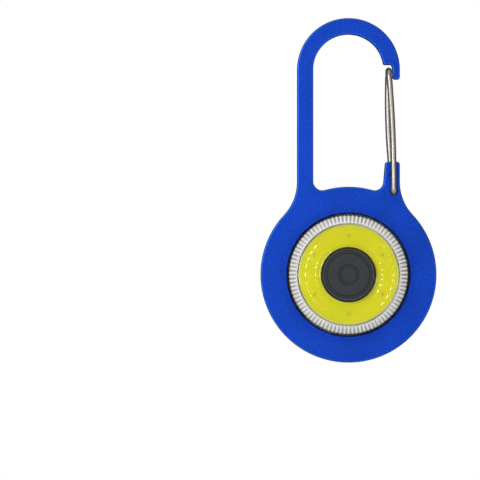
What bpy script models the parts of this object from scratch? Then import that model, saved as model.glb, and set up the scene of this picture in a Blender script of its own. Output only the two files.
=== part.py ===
"""Keychain flashlight: a flat anodised carabiner frame that carries a ring-shaped lamp.

Everything is modelled face up on the bench, in the frame of the empty "stand": X to the right, Y towards
the hook, Z out of the lamp's face. The origin is the inner top of the hook, where the light hangs.
The stand then turns the light upright, so that its face looks along -Y and the hook points up.
"""

import math

import bmesh
import bpy
from mathutils import Matrix, Vector

MM = 0.001

# --- Driving dimensions -----------------------------------------------------------------------------
# Frame: one flat plate, a disc with a hook above it.
BODY_RADIUS = 22.25 * MM
HOOK_HALF_WIDTH = 13.0 * MM
LIMB_WIDTH = 4.1 * MM
HOOK_ARC_ABOVE_BODY = 29.65 * MM
PLATE_THICKNESS = 5.0 * MM
PLATE_CHAMFER = 0.3 * MM
SHOULDER_FILLET = 12.2 * MM
THROAT_FILLET = 2.3 * MM
POST_ABOVE_BODY = 6.35 * MM
POST_TOP_WIDTH = 3.7 * MM
POST_CORNER = 0.8 * MM
SHELF_RISE = 1.2 * MM
FINGER_LENGTH = 3.7 * MM
FINGER_ROOT_WIDTH = 2.05 * MM
FINGER_TIP_WIDTH = 1.75 * MM
FINGER_CORNER = 0.55 * MM

# Gate: one bent wire whose two ends turn in two cross holes, one above the other.
WIRE_RADIUS = 0.65 * MM
WIRE_BEND = 1.6 * MM
WIRE_END_BEND = 0.8 * MM
GATE_SIDE_GAP = 0.2 * MM
GATE_STOP_GAP = 0.18 * MM
GATE_SHELF_GAP = 0.7 * MM
PIVOT_ABOVE_BODY = 0.9 * MM
PIVOT_EDGE = 1.95 * MM
PIVOT_SPACING = 4.4 * MM
PIVOT_CLEARANCE = 0.08 * MM
PIVOT_TIP_INSET = 0.35 * MM
GATE_SWING_DEG = 22.0
FRONT_LEG_BOW = 0.35 * MM
REAR_LEG_BOW = -0.45 * MM

# Lamp stack, from the face inwards.
SEAT_GAP = 0.1 * MM
SLIDE_GAP = 0.25 * MM
FRAME_RIM = 5.45 * MM
FRAME_LEDGE = 1.35 * MM
FRAME_LIP = 1.4 * MM
GASKET_THICKNESS = 0.4 * MM
LENS_PROUD = 0.9 * MM
LENS_WINDOW = 0.8 * MM
LENS_BEVEL_WIDTH = 2.1 * MM
LENS_BEVEL_DROP = 1.3 * MM
LENS_WALL = 1.8 * MM
LENS_FLANGE = 0.7 * MM
LED_GAP = 0.35 * MM
GEL_THICKNESS = 0.65 * MM
DAM_WIDTH = 0.25 * MM
DAM_HEIGHT = 0.5 * MM
DIE_COUNT = 6
DIE_SIDE = 1.1 * MM
DIE_HEIGHT = 0.2 * MM
LED_BOARD = 0.8 * MM
CARRIER_INSET = 0.7 * MM
CARRIER_BUTTON_GAP = 0.7 * MM
LEAD_RADIUS = 0.4 * MM
LEAD_HALF_SPACING = 1.6 * MM
MAIN_BOARD = 0.8 * MM
MAIN_BOARD_GAP = 0.5 * MM

# Button and the tactile switch under it.
BUTTON_RADIUS = 6.9 * MM
BUTTON_PROUD = 1.0 * MM
BUTTON_WALL = 1.3 * MM
BUTTON_CHAMFER = 0.5 * MM
BUTTON_FLANGE_WIDTH = 1.4 * MM
BUTTON_FLANGE = 0.6 * MM
BUTTON_BOSS_RADIUS = 1.8 * MM
BUTTON_DIMPLE_RADIUS = 2.3 * MM
BUTTON_DIMPLE_DEPTH = 0.25 * MM
BUTTON_TRAVEL = 0.25 * MM
SWITCH_SIDE = 6.0 * MM
SWITCH_PLATE = 0.2 * MM
SWITCH_WELL_RADIUS = 2.3 * MM
SWITCH_FLOOR = 0.25 * MM
STEM_RADIUS = 1.5 * MM
STEM_RISE = 0.9 * MM
STEM_FLANGE = 0.15 * MM
DOME_THICKNESS = 0.1 * MM
DOME_RISE = 0.3 * MM
DOME_CLEARANCE = 0.05 * MM

# What the main board carries round the cells: name, (length, width, height), place in degrees, finish.
COMPONENTS = [
    ("driver_chip", (2.9 * MM, 1.6 * MM, 1.1 * MM), 200, "component_black"),
    ("led_resistor_1", (1.6 * MM, 0.8 * MM, 0.5 * MM), 230, "component_black"),
    ("led_resistor_2", (1.6 * MM, 0.8 * MM, 0.5 * MM), 245, "component_black"),
    ("filter_capacitor", (2.0 * MM, 1.25 * MM, 0.9 * MM), 310, "component_tan"),
]

# Two coin cells and their contacts.
CELL_RADIUS = 10.0 * MM
CELL_HEIGHT = 1.6 * MM
CELL_CAP_RADIUS = 8.8 * MM
CELL_STEP = 0.2 * MM
CONTACT_THICKNESS = 0.2 * MM
CONTACT_WIDTH = 4.0 * MM
LEAF_RISE = 0.5 * MM
HOLDER_WALL = 1.3 * MM
PAD_THICKNESS = 0.3 * MM
PAD_RADIUS = 8.5 * MM

# Rear cover and its screws.
COVER_LIP = 0.55 * MM
COVER_WALL = 1.2 * MM
COVER_FLOOR = 1.2 * MM
COVER_EDGE = 0.6 * MM
SCREW_COUNT = 3
SCREW_INSET = 3.0 * MM
SCREW_FIRST_ANGLE = 30.0
SCREW_RADIUS = 1.0 * MM
SCREW_HEAD_RADIUS = 1.75 * MM
SCREW_HEAD_HEIGHT = 1.1 * MM
SCREW_SEAT_DEPTH = 1.3 * MM
SCREW_CLEARANCE = 0.2 * MM
SCREW_BITE = 3.2 * MM
SCREW_TIP_ROOM = 0.3 * MM
SCREW_BOSS_WALL = 0.75 * MM
SCREW_TURN_DEG = 25.0
SLOT_LENGTH = 2.1 * MM
SLOT_WIDTH = 0.5 * MM
SLOT_DEPTH = 0.65 * MM

FINE_STEPS = 72
MEDIUM_STEPS = 36
SMALL_STEPS = 16
CUT_MARGIN = 1.0 * MM

# --- Places worked out from them --------------------------------------------------------------------
HOOK_INNER_RADIUS = HOOK_HALF_WIDTH - LIMB_WIDTH
HOOK_ARC_Y = -HOOK_INNER_RADIUS
BODY_TOP_Y = HOOK_ARC_Y - HOOK_ARC_ABOVE_BODY
BODY_Y = BODY_TOP_Y - BODY_RADIUS
FRONT_Z = PLATE_THICKNESS / 2
BACK_Z = -PLATE_THICKNESS / 2
FRAME_POCKET_RADIUS = BODY_RADIUS - FRAME_RIM
FRAME_BORE_RADIUS = FRAME_POCKET_RADIUS - FRAME_LEDGE

LEDGE_Z = FRONT_Z - FRAME_LIP
LENS_FRONT_Z = FRONT_Z + LENS_PROUD
LENS_WINDOW_BACK_Z = LENS_FRONT_Z - LENS_WINDOW
LENS_FLANGE_FRONT_Z = LEDGE_Z - GASKET_THICKNESS - 2 * SEAT_GAP
LENS_FLANGE_BACK_Z = LENS_FLANGE_FRONT_Z - LENS_FLANGE
LENS_BARREL_RADIUS = FRAME_BORE_RADIUS - SLIDE_GAP
LENS_CAVITY_RADIUS = LENS_BARREL_RADIUS - LENS_WALL
LENS_FLANGE_RADIUS = FRAME_POCKET_RADIUS - SLIDE_GAP
LENS_HOLE_RADIUS = BUTTON_RADIUS + SLIDE_GAP

GEL_FRONT_Z = LENS_WINDOW_BACK_Z - LED_GAP
GEL_BACK_Z = GEL_FRONT_Z - GEL_THICKNESS
LED_BOARD_FRONT_Z = GEL_BACK_Z - SEAT_GAP
LED_BOARD_BACK_Z = LED_BOARD_FRONT_Z - LED_BOARD
LED_BOARD_OUTER = LENS_CAVITY_RADIUS - SLIDE_GAP
LED_BOARD_INNER = LENS_HOLE_RADIUS
GEL_OUTER = LED_BOARD_OUTER - DAM_WIDTH - 2 * SEAT_GAP
GEL_INNER = LED_BOARD_INNER + DAM_WIDTH + 2 * SEAT_GAP
DIE_CIRCLE_RADIUS = (LED_BOARD_INNER + GEL_OUTER) / 2

CARRIER_FRONT_Z = LED_BOARD_BACK_Z - SEAT_GAP
CARRIER_RIM_Z = LENS_FLANGE_BACK_Z - SEAT_GAP
CARRIER_BACK_Z = BACK_Z + CARRIER_INSET
MAIN_BOARD_FRONT_Z = CARRIER_BACK_Z - SEAT_GAP
MAIN_BOARD_BACK_Z = MAIN_BOARD_FRONT_Z - MAIN_BOARD

SWITCH_BACK_Z = MAIN_BOARD_FRONT_Z + SEAT_GAP
DOME_FOOT_Z = SWITCH_BACK_Z + SWITCH_FLOOR + SEAT_GAP
STEM_FOOT_Z = DOME_FOOT_Z + DOME_THICKNESS + DOME_RISE + DOME_CLEARANCE + BUTTON_TRAVEL
SWITCH_FRONT_Z = STEM_FOOT_Z + STEM_FLANGE + SEAT_GAP
SWITCH_PLATE_FRONT_Z = SWITCH_FRONT_Z + SEAT_GAP + SWITCH_PLATE
STEM_TOP_Z = SWITCH_PLATE_FRONT_Z + STEM_RISE
BUTTON_FRONT_Z = LENS_FRONT_Z + BUTTON_PROUD
BUTTON_BOSS_Z = STEM_TOP_Z + SEAT_GAP
BUTTON_FLANGE_FRONT_Z = LED_BOARD_BACK_Z - SLIDE_GAP
BUTTON_FLANGE_BACK_Z = BUTTON_FLANGE_FRONT_Z - BUTTON_FLANGE
BUTTON_FLANGE_RADIUS = BUTTON_RADIUS + BUTTON_FLANGE_WIDTH
BUTTON_INNER_RADIUS = BUTTON_RADIUS - BUTTON_WALL
CARRIER_INNER_RADIUS = BUTTON_FLANGE_RADIUS + CARRIER_BUTTON_GAP
LEAD_CIRCLE_RADIUS = (CARRIER_INNER_RADIUS + LED_BOARD_OUTER) / 2

CELL_1_TOP_Z = MAIN_BOARD_BACK_Z - LEAF_RISE - 2 * SEAT_GAP
CELL_2_TOP_Z = CELL_1_TOP_Z - CELL_HEIGHT - SEAT_GAP
CELLS_BACK_Z = CELL_2_TOP_Z - CELL_HEIGHT
ARM_FRONT_Z = CELLS_BACK_Z - SEAT_GAP
ARM_BACK_Z = ARM_FRONT_Z - CONTACT_THICKNESS
PAD_FRONT_Z = ARM_BACK_Z - SEAT_GAP
PAD_BACK_Z = PAD_FRONT_Z - PAD_THICKNESS
HOLDER_INNER_RADIUS = CELL_RADIUS + SLIDE_GAP
HOLDER_OUTER_RADIUS = HOLDER_INNER_RADIUS + HOLDER_WALL

COVER_FRONT_Z = BACK_Z - SEAT_GAP
COVER_INNER_Z = PAD_BACK_Z - SEAT_GAP
COVER_BACK_Z = COVER_INNER_Z - COVER_FLOOR
COVER_RADIUS = BODY_RADIUS - COVER_LIP
SCREW_CIRCLE_RADIUS = COVER_RADIUS - SCREW_INSET
SCREW_SEAT_Z = COVER_BACK_Z + SCREW_SEAT_DEPTH
SCREW_TIP_Z = BACK_Z + SCREW_BITE
SCREW_HOLE_RADIUS = SCREW_RADIUS + SCREW_CLEARANCE
SCREW_SEAT_RADIUS = SCREW_HEAD_RADIUS + SCREW_CLEARANCE
SCREW_BOSS_RADIUS = SCREW_SEAT_RADIUS + SCREW_BOSS_WALL
MAIN_BOARD_RADIUS = SCREW_CIRCLE_RADIUS - SCREW_BOSS_RADIUS - MAIN_BOARD_GAP
COMPONENT_CIRCLE_RADIUS = (HOLDER_OUTER_RADIUS + MAIN_BOARD_RADIUS) / 2

PIVOT_X = HOOK_HALF_WIDTH - PIVOT_EDGE
PIVOT_Y = BODY_TOP_Y + PIVOT_ABOVE_BODY
END_SWEEP = PIVOT_SPACING / 2 * math.sin(math.radians(GATE_SWING_DEG / 2))
PIVOT_HOLE_RADIUS = WIRE_RADIUS + END_SWEEP + PIVOT_CLEARANCE
GATE_LEG_Z = PLATE_THICKNESS / 2 + GATE_SIDE_GAP + WIRE_RADIUS


# --- Scene, materials and helpers -------------------------------------------------------------------
def clear_scene():
    for obj in list(bpy.data.objects):
        bpy.data.objects.remove(obj)


def new_collection(name):
    collection = bpy.data.collections.new(name)
    bpy.context.scene.collection.children.link(collection)
    return collection


def new_material(name, colour, roughness, metallic=0.0):
    material = bpy.data.materials.new(name)
    material.use_nodes = True
    shader = material.node_tree.nodes["Principled BSDF"]
    shader.inputs["Base Color"].default_value = (*colour, 1.0)
    shader.inputs["Roughness"].default_value = roughness
    shader.inputs["Metallic"].default_value = metallic
    return material


def new_empty(name, parent, location=(0.0, 0.0, 0.0)):
    empty = bpy.data.objects.new(name, None)
    empty.parent = parent
    empty.location = location
    PARTS.objects.link(empty)
    return empty


def place(obj, parent, location=(0.0, 0.0, 0.0), material=None, collection=None):
    """Puts an object under its parent empty, at a place given in that empty's frame."""
    for owner in list(obj.users_collection):
        owner.objects.unlink(obj)
    (collection or PARTS).objects.link(obj)
    obj.parent = parent
    obj.location = location
    if material is not None:
        obj.data.materials.clear()
        obj.data.materials.append(material)
    return obj


def box(name, size, parent, location, material=None, collection=None):
    bpy.ops.mesh.primitive_cube_add(size=1.0)
    obj = bpy.context.object
    obj.name = name
    obj.data.transform(Matrix.Diagonal((*size, 1.0)))
    return place(obj, parent, location, material, collection)


def cylinder(name, radius, low_z, high_z, parent, centre, steps, material=None, collection=None):
    """A cylinder along Z, from low_z to high_z above the centre."""
    bpy.ops.mesh.primitive_cylinder_add(vertices=steps, radius=radius, depth=high_z - low_z)
    obj = bpy.context.object
    obj.name = name
    location = Vector((*centre, (low_z + high_z) / 2))
    return place(obj, parent, location, material, collection)


def turned(name, profile, parent, material, centre=(0.0, 0.0), steps=FINE_STEPS, ring=True):
    """A turned piece. The profile is (radius, z) points that run down the outer side.

    A ring's profile closes on itself; a solid piece's profile starts and ends on the axis.
    """
    points = [(radius, 0.0, z) for radius, z in profile]
    count = len(points)
    edges = [(i, (i + 1) % count) for i in range(count if ring else count - 1)]
    mesh = bpy.data.meshes.new(name)
    mesh.from_pydata(points, edges, [])
    obj = bpy.data.objects.new(name, mesh)
    screw = obj.modifiers.new("turn", "SCREW")
    screw.axis = "Z"
    screw.angle = 2 * math.pi
    screw.steps = steps
    screw.render_steps = steps
    screw.use_merge_vertices = True
    screw.merge_threshold = 0.00001
    screw.use_smooth_shade = False
    return place(obj, parent, (*centre, 0.0), material)


def flat_curve(name, outline, thickness, chamfer=0.0):
    """A closed flat outline in the XY plane as a filled 2D curve, centred on z = 0."""
    curve = bpy.data.curves.new(name, "CURVE")
    curve.dimensions = "2D"
    curve.fill_mode = "BOTH"
    curve.extrude = thickness / 2 - chamfer
    curve.bevel_depth = chamfer
    curve.bevel_resolution = 0
    curve.offset = -chamfer
    spline = curve.splines.new("POLY")
    spline.points.add(len(outline) - 1)
    for point, (x, y) in zip(spline.points, outline):
        point.co = (x, y, 0.0, 1.0)
    spline.use_cyclic_u = True
    return bpy.data.objects.new(name, curve)


def meshed(curve_obj, name):
    """The curve object as a welded mesh object of that name; the curve is removed."""
    bpy.context.scene.collection.objects.link(curve_obj)
    bpy.context.view_layer.update()
    evaluated = curve_obj.evaluated_get(bpy.context.evaluated_depsgraph_get())
    mesh = bpy.data.meshes.new_from_object(evaluated)
    matrix = curve_obj.matrix_world.copy()
    bpy.data.objects.remove(curve_obj)
    welded = bmesh.new()
    welded.from_mesh(mesh)
    bmesh.ops.remove_doubles(welded, verts=welded.verts, dist=1e-6)
    bmesh.ops.recalc_face_normals(welded, faces=welded.faces)
    welded.to_mesh(mesh)
    welded.free()
    mesh.name = name
    obj = bpy.data.objects.new(name, mesh)
    obj.matrix_world = matrix
    return obj


def wire(name, points, radius, parent, material, location=(0.0, 0.0, 0.0), roundness=2):
    """A round wire along a list of points, with filled ends."""
    curve = bpy.data.curves.new(name, "CURVE")
    curve.dimensions = "3D"
    curve.bevel_depth = radius
    curve.bevel_resolution = roundness
    curve.use_fill_caps = True
    spline = curve.splines.new("POLY")
    spline.points.add(len(points) - 1)
    for target, point in zip(spline.points, points):
        target.co = (*point, 1.0)
    return place(bpy.data.objects.new(name, curve), parent, location, material)


def boolean(obj, other, operation="DIFFERENCE", solver="EXACT"):
    """Cuts obj with a cutter, or joins a helper to it. The helper itself isn't a part."""
    other.hide_render = True
    other.display_type = "WIRE"
    modifier = obj.modifiers.new(operation.lower(), "BOOLEAN")
    modifier.operation = operation
    modifier.object = other
    modifier.solver = solver


def polar(radius, degrees, centre=(0.0, 0.0)):
    angle = math.radians(degrees)
    return (centre[0] + radius * math.cos(angle), centre[1] + radius * math.sin(angle))


def arc(centre, radius, start, end, steps):
    """Points on an arc from angle start to angle end, in degrees, both ends included."""
    return [polar(radius, start + (end - start) * i / steps, centre) for i in range(steps + 1)]


def rounded_corner(before, corner, after, radius, steps=5):
    """The arc that rounds a corner between two straight edges."""
    corner = Vector(corner)
    to_before = (Vector(before) - corner).normalized()
    to_after = (Vector(after) - corner).normalized()
    half = to_before.angle(to_after) / 2
    reach = radius / math.tan(half)
    centre = corner + (to_before + to_after).normalized() * (radius / math.sin(half))
    start = corner + to_before * reach - centre
    end = corner + to_after * reach - centre
    sweep = start.angle_signed(end)
    first = math.degrees(math.atan2(start.y, start.x))
    return arc(tuple(centre), radius, first, first - math.degrees(sweep), steps)


# --- Frame ------------------------------------------------------------------------------------------
def disc_segment(start, end):
    """Points on the body's rim between two angles, at the same spacing everywhere."""
    steps = max(2, round(abs(end - start) / 360 * FINE_STEPS))
    return arc((0.0, BODY_Y), BODY_RADIUS, start, end, steps)


def fillet_centre(edge_x, fillet):
    """Centre of a fillet that touches the line x = edge_x from outside and the body's rim."""
    x = edge_x + fillet
    return (x, BODY_Y + math.sqrt((BODY_RADIUS + fillet) ** 2 - x**2))


def finger_outline():
    """The nose of the hook: the shelf that stops the gate, and the finger outside it."""
    outer_x = HOOK_HALF_WIDTH
    shelf_y = HOOK_ARC_Y + SHELF_RISE
    tip_y = shelf_y - FINGER_LENGTH
    root = (outer_x - FINGER_ROOT_WIDTH, shelf_y)
    inner_tip = (outer_x - FINGER_TIP_WIDTH, tip_y)
    outer_tip = (outer_x, tip_y)
    return [
        root,
        *rounded_corner(root, inner_tip, outer_tip, FINGER_CORNER),
        *rounded_corner(inner_tip, outer_tip, (outer_x, shelf_y), FINGER_CORNER),
    ]


def post_outline():
    """The stub that carries the gate, up its outer side, over the top and down its inner side."""
    top_y = BODY_TOP_Y + POST_ABOVE_BODY
    outer_foot = (HOOK_HALF_WIDTH, PIVOT_Y)
    outer_top = (HOOK_HALF_WIDTH, top_y)
    inner_top = (HOOK_HALF_WIDTH - POST_TOP_WIDTH, top_y)
    inner_foot = (HOOK_INNER_RADIUS, fillet_centre(HOOK_INNER_RADIUS - 2 * THROAT_FILLET, THROAT_FILLET)[1])
    return [
        *rounded_corner(outer_foot, outer_top, inner_top, POST_CORNER),
        *rounded_corner(outer_top, inner_top, inner_foot, POST_CORNER),
    ]


def frame_outline():
    """The plate's outline, anticlockwise from the left shoulder."""
    shoulder = fillet_centre(HOOK_HALF_WIDTH, SHOULDER_FILLET)
    shoulder_angle = math.degrees(math.atan2(shoulder[1] - BODY_Y, shoulder[0]))
    throat = fillet_centre(HOOK_INNER_RADIUS - 2 * THROAT_FILLET, THROAT_FILLET)
    throat_angle = math.degrees(math.atan2(throat[1] - BODY_Y, throat[0]))
    shelf_angle = math.degrees(math.asin(SHELF_RISE / HOOK_INNER_RADIUS))
    hook_centre = (0.0, HOOK_ARC_Y)
    return [
        *disc_segment(180 - shoulder_angle, 360 + shoulder_angle),
        *arc(shoulder, SHOULDER_FILLET, 180 + shoulder_angle, 180, 12)[1:],
        *post_outline(),
        *arc(throat, THROAT_FILLET, 0, throat_angle - 180, 10),
        *disc_segment(throat_angle, 180 - throat_angle)[1:-1],
        *arc((-throat[0], throat[1]), THROAT_FILLET, -throat_angle, -180, 10),
        *arc(hook_centre, HOOK_INNER_RADIUS, 180, shelf_angle, 40),
        *finger_outline(),
        *arc(hook_centre, HOOK_HALF_WIDTH, 0, 180, 48),
        *arc((-shoulder[0], shoulder[1]), SHOULDER_FILLET, 0, -shoulder_angle, 12)[:-1],
    ]


def pivot_holes():
    """(x, y) of the upper gate hole, which the rear end enters, and of the lower one, for the front end.

    Each is midway along the chord that its wire end sweeps.
    """
    half_swing = math.radians(GATE_SWING_DEG / 2)
    drift = END_SWEEP * math.cos(half_swing)
    lift = END_SWEEP * math.sin(half_swing)
    upper = (PIVOT_X - drift, PIVOT_Y + PIVOT_SPACING / 2 - lift)
    lower = (PIVOT_X + drift, PIVOT_Y - PIVOT_SPACING / 2 + lift)
    return upper, lower


def screw_places():
    centre = (0.0, BODY_Y)
    return [
        polar(SCREW_CIRCLE_RADIUS, SCREW_FIRST_ANGLE + 360 * i / SCREW_COUNT, centre)
        for i in range(SCREW_COUNT)
    ]


def build_frame(stand, blue):
    plate = flat_curve("frame_curve", frame_outline(), PLATE_THICKNESS, PLATE_CHAMFER)
    frame = place(meshed(plate, "carabiner_frame"), stand, material=blue)
    centre = (0.0, BODY_Y)
    far = FRONT_Z + CUT_MARGIN
    cutters = [
        ("cut_lens_bore", FRAME_BORE_RADIUS, LEDGE_Z - CUT_MARGIN, far, centre, FINE_STEPS),
        ("cut_lamp_pocket", FRAME_POCKET_RADIUS, -far, LEDGE_Z, centre, FINE_STEPS),
    ]
    upper, lower = pivot_holes()
    cutters.append(("cut_pivot_1", PIVOT_HOLE_RADIUS, -far, far, upper, SMALL_STEPS))
    cutters.append(("cut_pivot_2", PIVOT_HOLE_RADIUS, -far, far, lower, SMALL_STEPS))
    for number, place_xy in enumerate(screw_places(), 1):
        deep = SCREW_TIP_Z + SCREW_TIP_ROOM
        cutters.append((f"cut_screw_{number}", SCREW_HOLE_RADIUS, -far, deep, place_xy, SMALL_STEPS))
    for name, radius, low, high, place_xy, steps in cutters:
        boolean(frame, cylinder(name, radius, low, high, stand, place_xy, steps, collection=CUTTERS))


# --- Gate -------------------------------------------------------------------------------------------
def bend_between(corner, before, after, radius, steps=6):
    """Points round a bend of a wire at a corner, in space."""
    corner = Vector(corner)
    to_before = (Vector(before) - corner).normalized()
    to_after = (Vector(after) - corner).normalized()
    half = to_before.angle(to_after) / 2
    centre = corner + (to_before + to_after).normalized() * (radius / math.sin(half))
    start = corner + to_before * (radius / math.tan(half)) - centre
    axis = to_after.cross(to_before).normalized()
    turn = math.pi - 2 * half
    return [centre + Matrix.Rotation(turn * i / steps, 3, axis) @ start for i in range(steps + 1)]


def gate_leg(foot, head, bow, steps=8):
    """Points up one leg of the gate, between its foot and its head, bowed sideways along X."""
    points = []
    for i in range(1, steps):
        share = i / steps
        point = foot.lerp(head, share)
        point.x += bow * math.sin(math.pi * share)
        points.append(point)
    return points


def gate_route():
    """The gate wire's centre line, from its upper end over the nose to its lower end.

    Points are in the pivot's frame: the origin is the mean axis of the two cross holes.
    """
    half = PIVOT_SPACING / 2
    shelf_y = HOOK_ARC_Y + SHELF_RISE - PIVOT_Y
    cross_y = shelf_y - GATE_SHELF_GAP - WIRE_RADIUS
    stop_share = GATE_SHELF_GAP / FINGER_LENGTH
    finger_width = FINGER_ROOT_WIDTH + (FINGER_TIP_WIDTH - FINGER_ROOT_WIDTH) * stop_share
    cross_x = HOOK_HALF_WIDTH - finger_width - GATE_STOP_GAP - WIRE_RADIUS - PIVOT_X
    tip_z = PLATE_THICKNESS / 2 - PIVOT_TIP_INSET
    rear_tip = Vector((0.0, half, tip_z))
    rear_foot = Vector((0.0, half, -GATE_LEG_Z))
    rear_head = Vector((cross_x, cross_y, -GATE_LEG_Z))
    front_head = Vector((cross_x, cross_y, GATE_LEG_Z))
    front_foot = Vector((0.0, -half, GATE_LEG_Z))
    front_tip = Vector((0.0, -half, -tip_z))
    return [
        rear_tip,
        *bend_between(rear_foot, rear_tip, rear_head, WIRE_END_BEND),
        *gate_leg(rear_foot, rear_head, REAR_LEG_BOW),
        *bend_between(rear_head, rear_foot, front_head, WIRE_BEND),
        *bend_between(front_head, rear_head, front_foot, WIRE_BEND),
        *reversed(gate_leg(front_foot, front_head, FRONT_LEG_BOW)),
        *bend_between(front_foot, front_head, front_tip, WIRE_END_BEND),
        front_tip,
    ]


# --- Lamp -------------------------------------------------------------------------------------------
def ring_profile(inner, outer, back, front):
    return [(inner, front), (outer, front), (outer, back), (inner, back)]


def build_lens(stand, clear):
    window_radius = LENS_BARREL_RADIUS - LENS_BEVEL_WIDTH
    profile = [
        (LENS_HOLE_RADIUS, LENS_FRONT_Z),
        (window_radius, LENS_FRONT_Z),
        (LENS_BARREL_RADIUS, LENS_FRONT_Z - LENS_BEVEL_DROP),
        (LENS_BARREL_RADIUS, LENS_FLANGE_FRONT_Z),
        (LENS_FLANGE_RADIUS, LENS_FLANGE_FRONT_Z),
        (LENS_FLANGE_RADIUS, LENS_FLANGE_BACK_Z),
        (LENS_CAVITY_RADIUS, LENS_FLANGE_BACK_Z),
        (LENS_CAVITY_RADIUS, LENS_WINDOW_BACK_Z),
        (LENS_HOLE_RADIUS, LENS_WINDOW_BACK_Z),
    ]
    turned("ribbed_lens", profile, stand, clear, (0.0, BODY_Y))


def build_light_source(stand, materials):
    """The annular LED board with its dies, the two dams and the phosphor gel over them."""
    centre = (0.0, BODY_Y)
    turned(
        "led_board",
        ring_profile(LED_BOARD_INNER, LED_BOARD_OUTER, LED_BOARD_BACK_Z, LED_BOARD_FRONT_Z),
        stand, materials["board_white"], centre, MEDIUM_STEPS,
    )
    dam_front = GEL_BACK_Z + DAM_HEIGHT
    turned(
        "inner_dam",
        ring_profile(LED_BOARD_INNER, LED_BOARD_INNER + DAM_WIDTH, GEL_BACK_Z, dam_front),
        stand, materials["dam_white"], centre, MEDIUM_STEPS,
    )
    turned(
        "outer_dam",
        ring_profile(LED_BOARD_OUTER - DAM_WIDTH, LED_BOARD_OUTER, GEL_BACK_Z, dam_front),
        stand, materials["dam_white"], centre, MEDIUM_STEPS,
    )
    gel = turned(
        "phosphor_ring",
        ring_profile(GEL_INNER, GEL_OUTER, GEL_BACK_Z, GEL_FRONT_Z),
        stand, materials["phosphor"], centre, MEDIUM_STEPS,
    )
    die_z = GEL_BACK_Z + DIE_HEIGHT / 2
    pocket_side = DIE_SIDE + 2 * SEAT_GAP
    pocket_height = DIE_HEIGHT + SEAT_GAP
    for number in range(DIE_COUNT):
        x, y = polar(DIE_CIRCLE_RADIUS, 90 + 360 * number / DIE_COUNT, centre)
        box(f"led_die_{number + 1}", (DIE_SIDE, DIE_SIDE, DIE_HEIGHT), stand, (x, y, die_z), materials["die"])
        cut_size = (pocket_side, pocket_side, 2 * pocket_height)
        boolean(gel, box(f"cut_die_{number + 1}", cut_size, stand, (x, y, GEL_BACK_Z), collection=CUTTERS))


def build_carrier(stand, white):
    """The ring that clamps the lens and the LED board, and holds the main board off them."""
    profile = [
        (CARRIER_INNER_RADIUS, CARRIER_FRONT_Z),
        (LED_BOARD_OUTER, CARRIER_FRONT_Z),
        (LED_BOARD_OUTER, CARRIER_RIM_Z),
        (LENS_FLANGE_RADIUS, CARRIER_RIM_Z),
        (LENS_FLANGE_RADIUS, CARRIER_BACK_Z),
        (CARRIER_INNER_RADIUS, CARRIER_BACK_Z),
    ]
    carrier = turned("carrier_ring", profile, stand, white, (0.0, BODY_Y))
    for side in (-1, 1):
        cutter = cylinder(
            f"cut_lead_{side + 2}", LEAD_RADIUS + SLIDE_GAP, CARRIER_BACK_Z - CUT_MARGIN,
            CARRIER_FRONT_Z + CUT_MARGIN, stand, lead_place(side), SMALL_STEPS, collection=CUTTERS,
        )
        boolean(carrier, cutter)


def lead_place(side):
    return (side * LEAD_HALF_SPACING, BODY_Y + LEAD_CIRCLE_RADIUS)


def build_leads(stand, red, black):
    """The two short leads that feed the LED board through the carrier."""
    for name, side, colour in (("lead_positive", -1, red), ("lead_negative", 1, black)):
        x, y = lead_place(side)
        top = CARRIER_FRONT_Z + SEAT_GAP / 2
        bottom = CARRIER_BACK_Z - SEAT_GAP / 2
        wire(name, [(x, y, bottom), (x, y, (bottom + top) / 2), (x, y, top)], LEAD_RADIUS, stand, colour)


# --- Button and switch ------------------------------------------------------------------------------
def build_button(axis, grey):
    """The cap, with a flange that holds it in behind the LED board and a boss over the switch."""
    profile = [
        (0.0, BUTTON_FRONT_Z - BUTTON_DIMPLE_DEPTH),
        (BUTTON_DIMPLE_RADIUS - BUTTON_DIMPLE_DEPTH, BUTTON_FRONT_Z - BUTTON_DIMPLE_DEPTH),
        (BUTTON_DIMPLE_RADIUS, BUTTON_FRONT_Z),
        (BUTTON_RADIUS - BUTTON_CHAMFER, BUTTON_FRONT_Z),
        (BUTTON_RADIUS, BUTTON_FRONT_Z - BUTTON_CHAMFER),
        (BUTTON_RADIUS, BUTTON_FLANGE_FRONT_Z),
        (BUTTON_FLANGE_RADIUS, BUTTON_FLANGE_FRONT_Z),
        (BUTTON_FLANGE_RADIUS, BUTTON_FLANGE_BACK_Z),
        (BUTTON_INNER_RADIUS, BUTTON_FLANGE_BACK_Z),
        (BUTTON_INNER_RADIUS, BUTTON_FRONT_Z - BUTTON_WALL),
        (BUTTON_BOSS_RADIUS, BUTTON_FRONT_Z - BUTTON_WALL),
        (BUTTON_BOSS_RADIUS, BUTTON_BOSS_Z),
        (0.0, BUTTON_BOSS_Z),
    ]
    turned("button_cap", profile, axis, grey, steps=MEDIUM_STEPS, ring=False)


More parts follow.
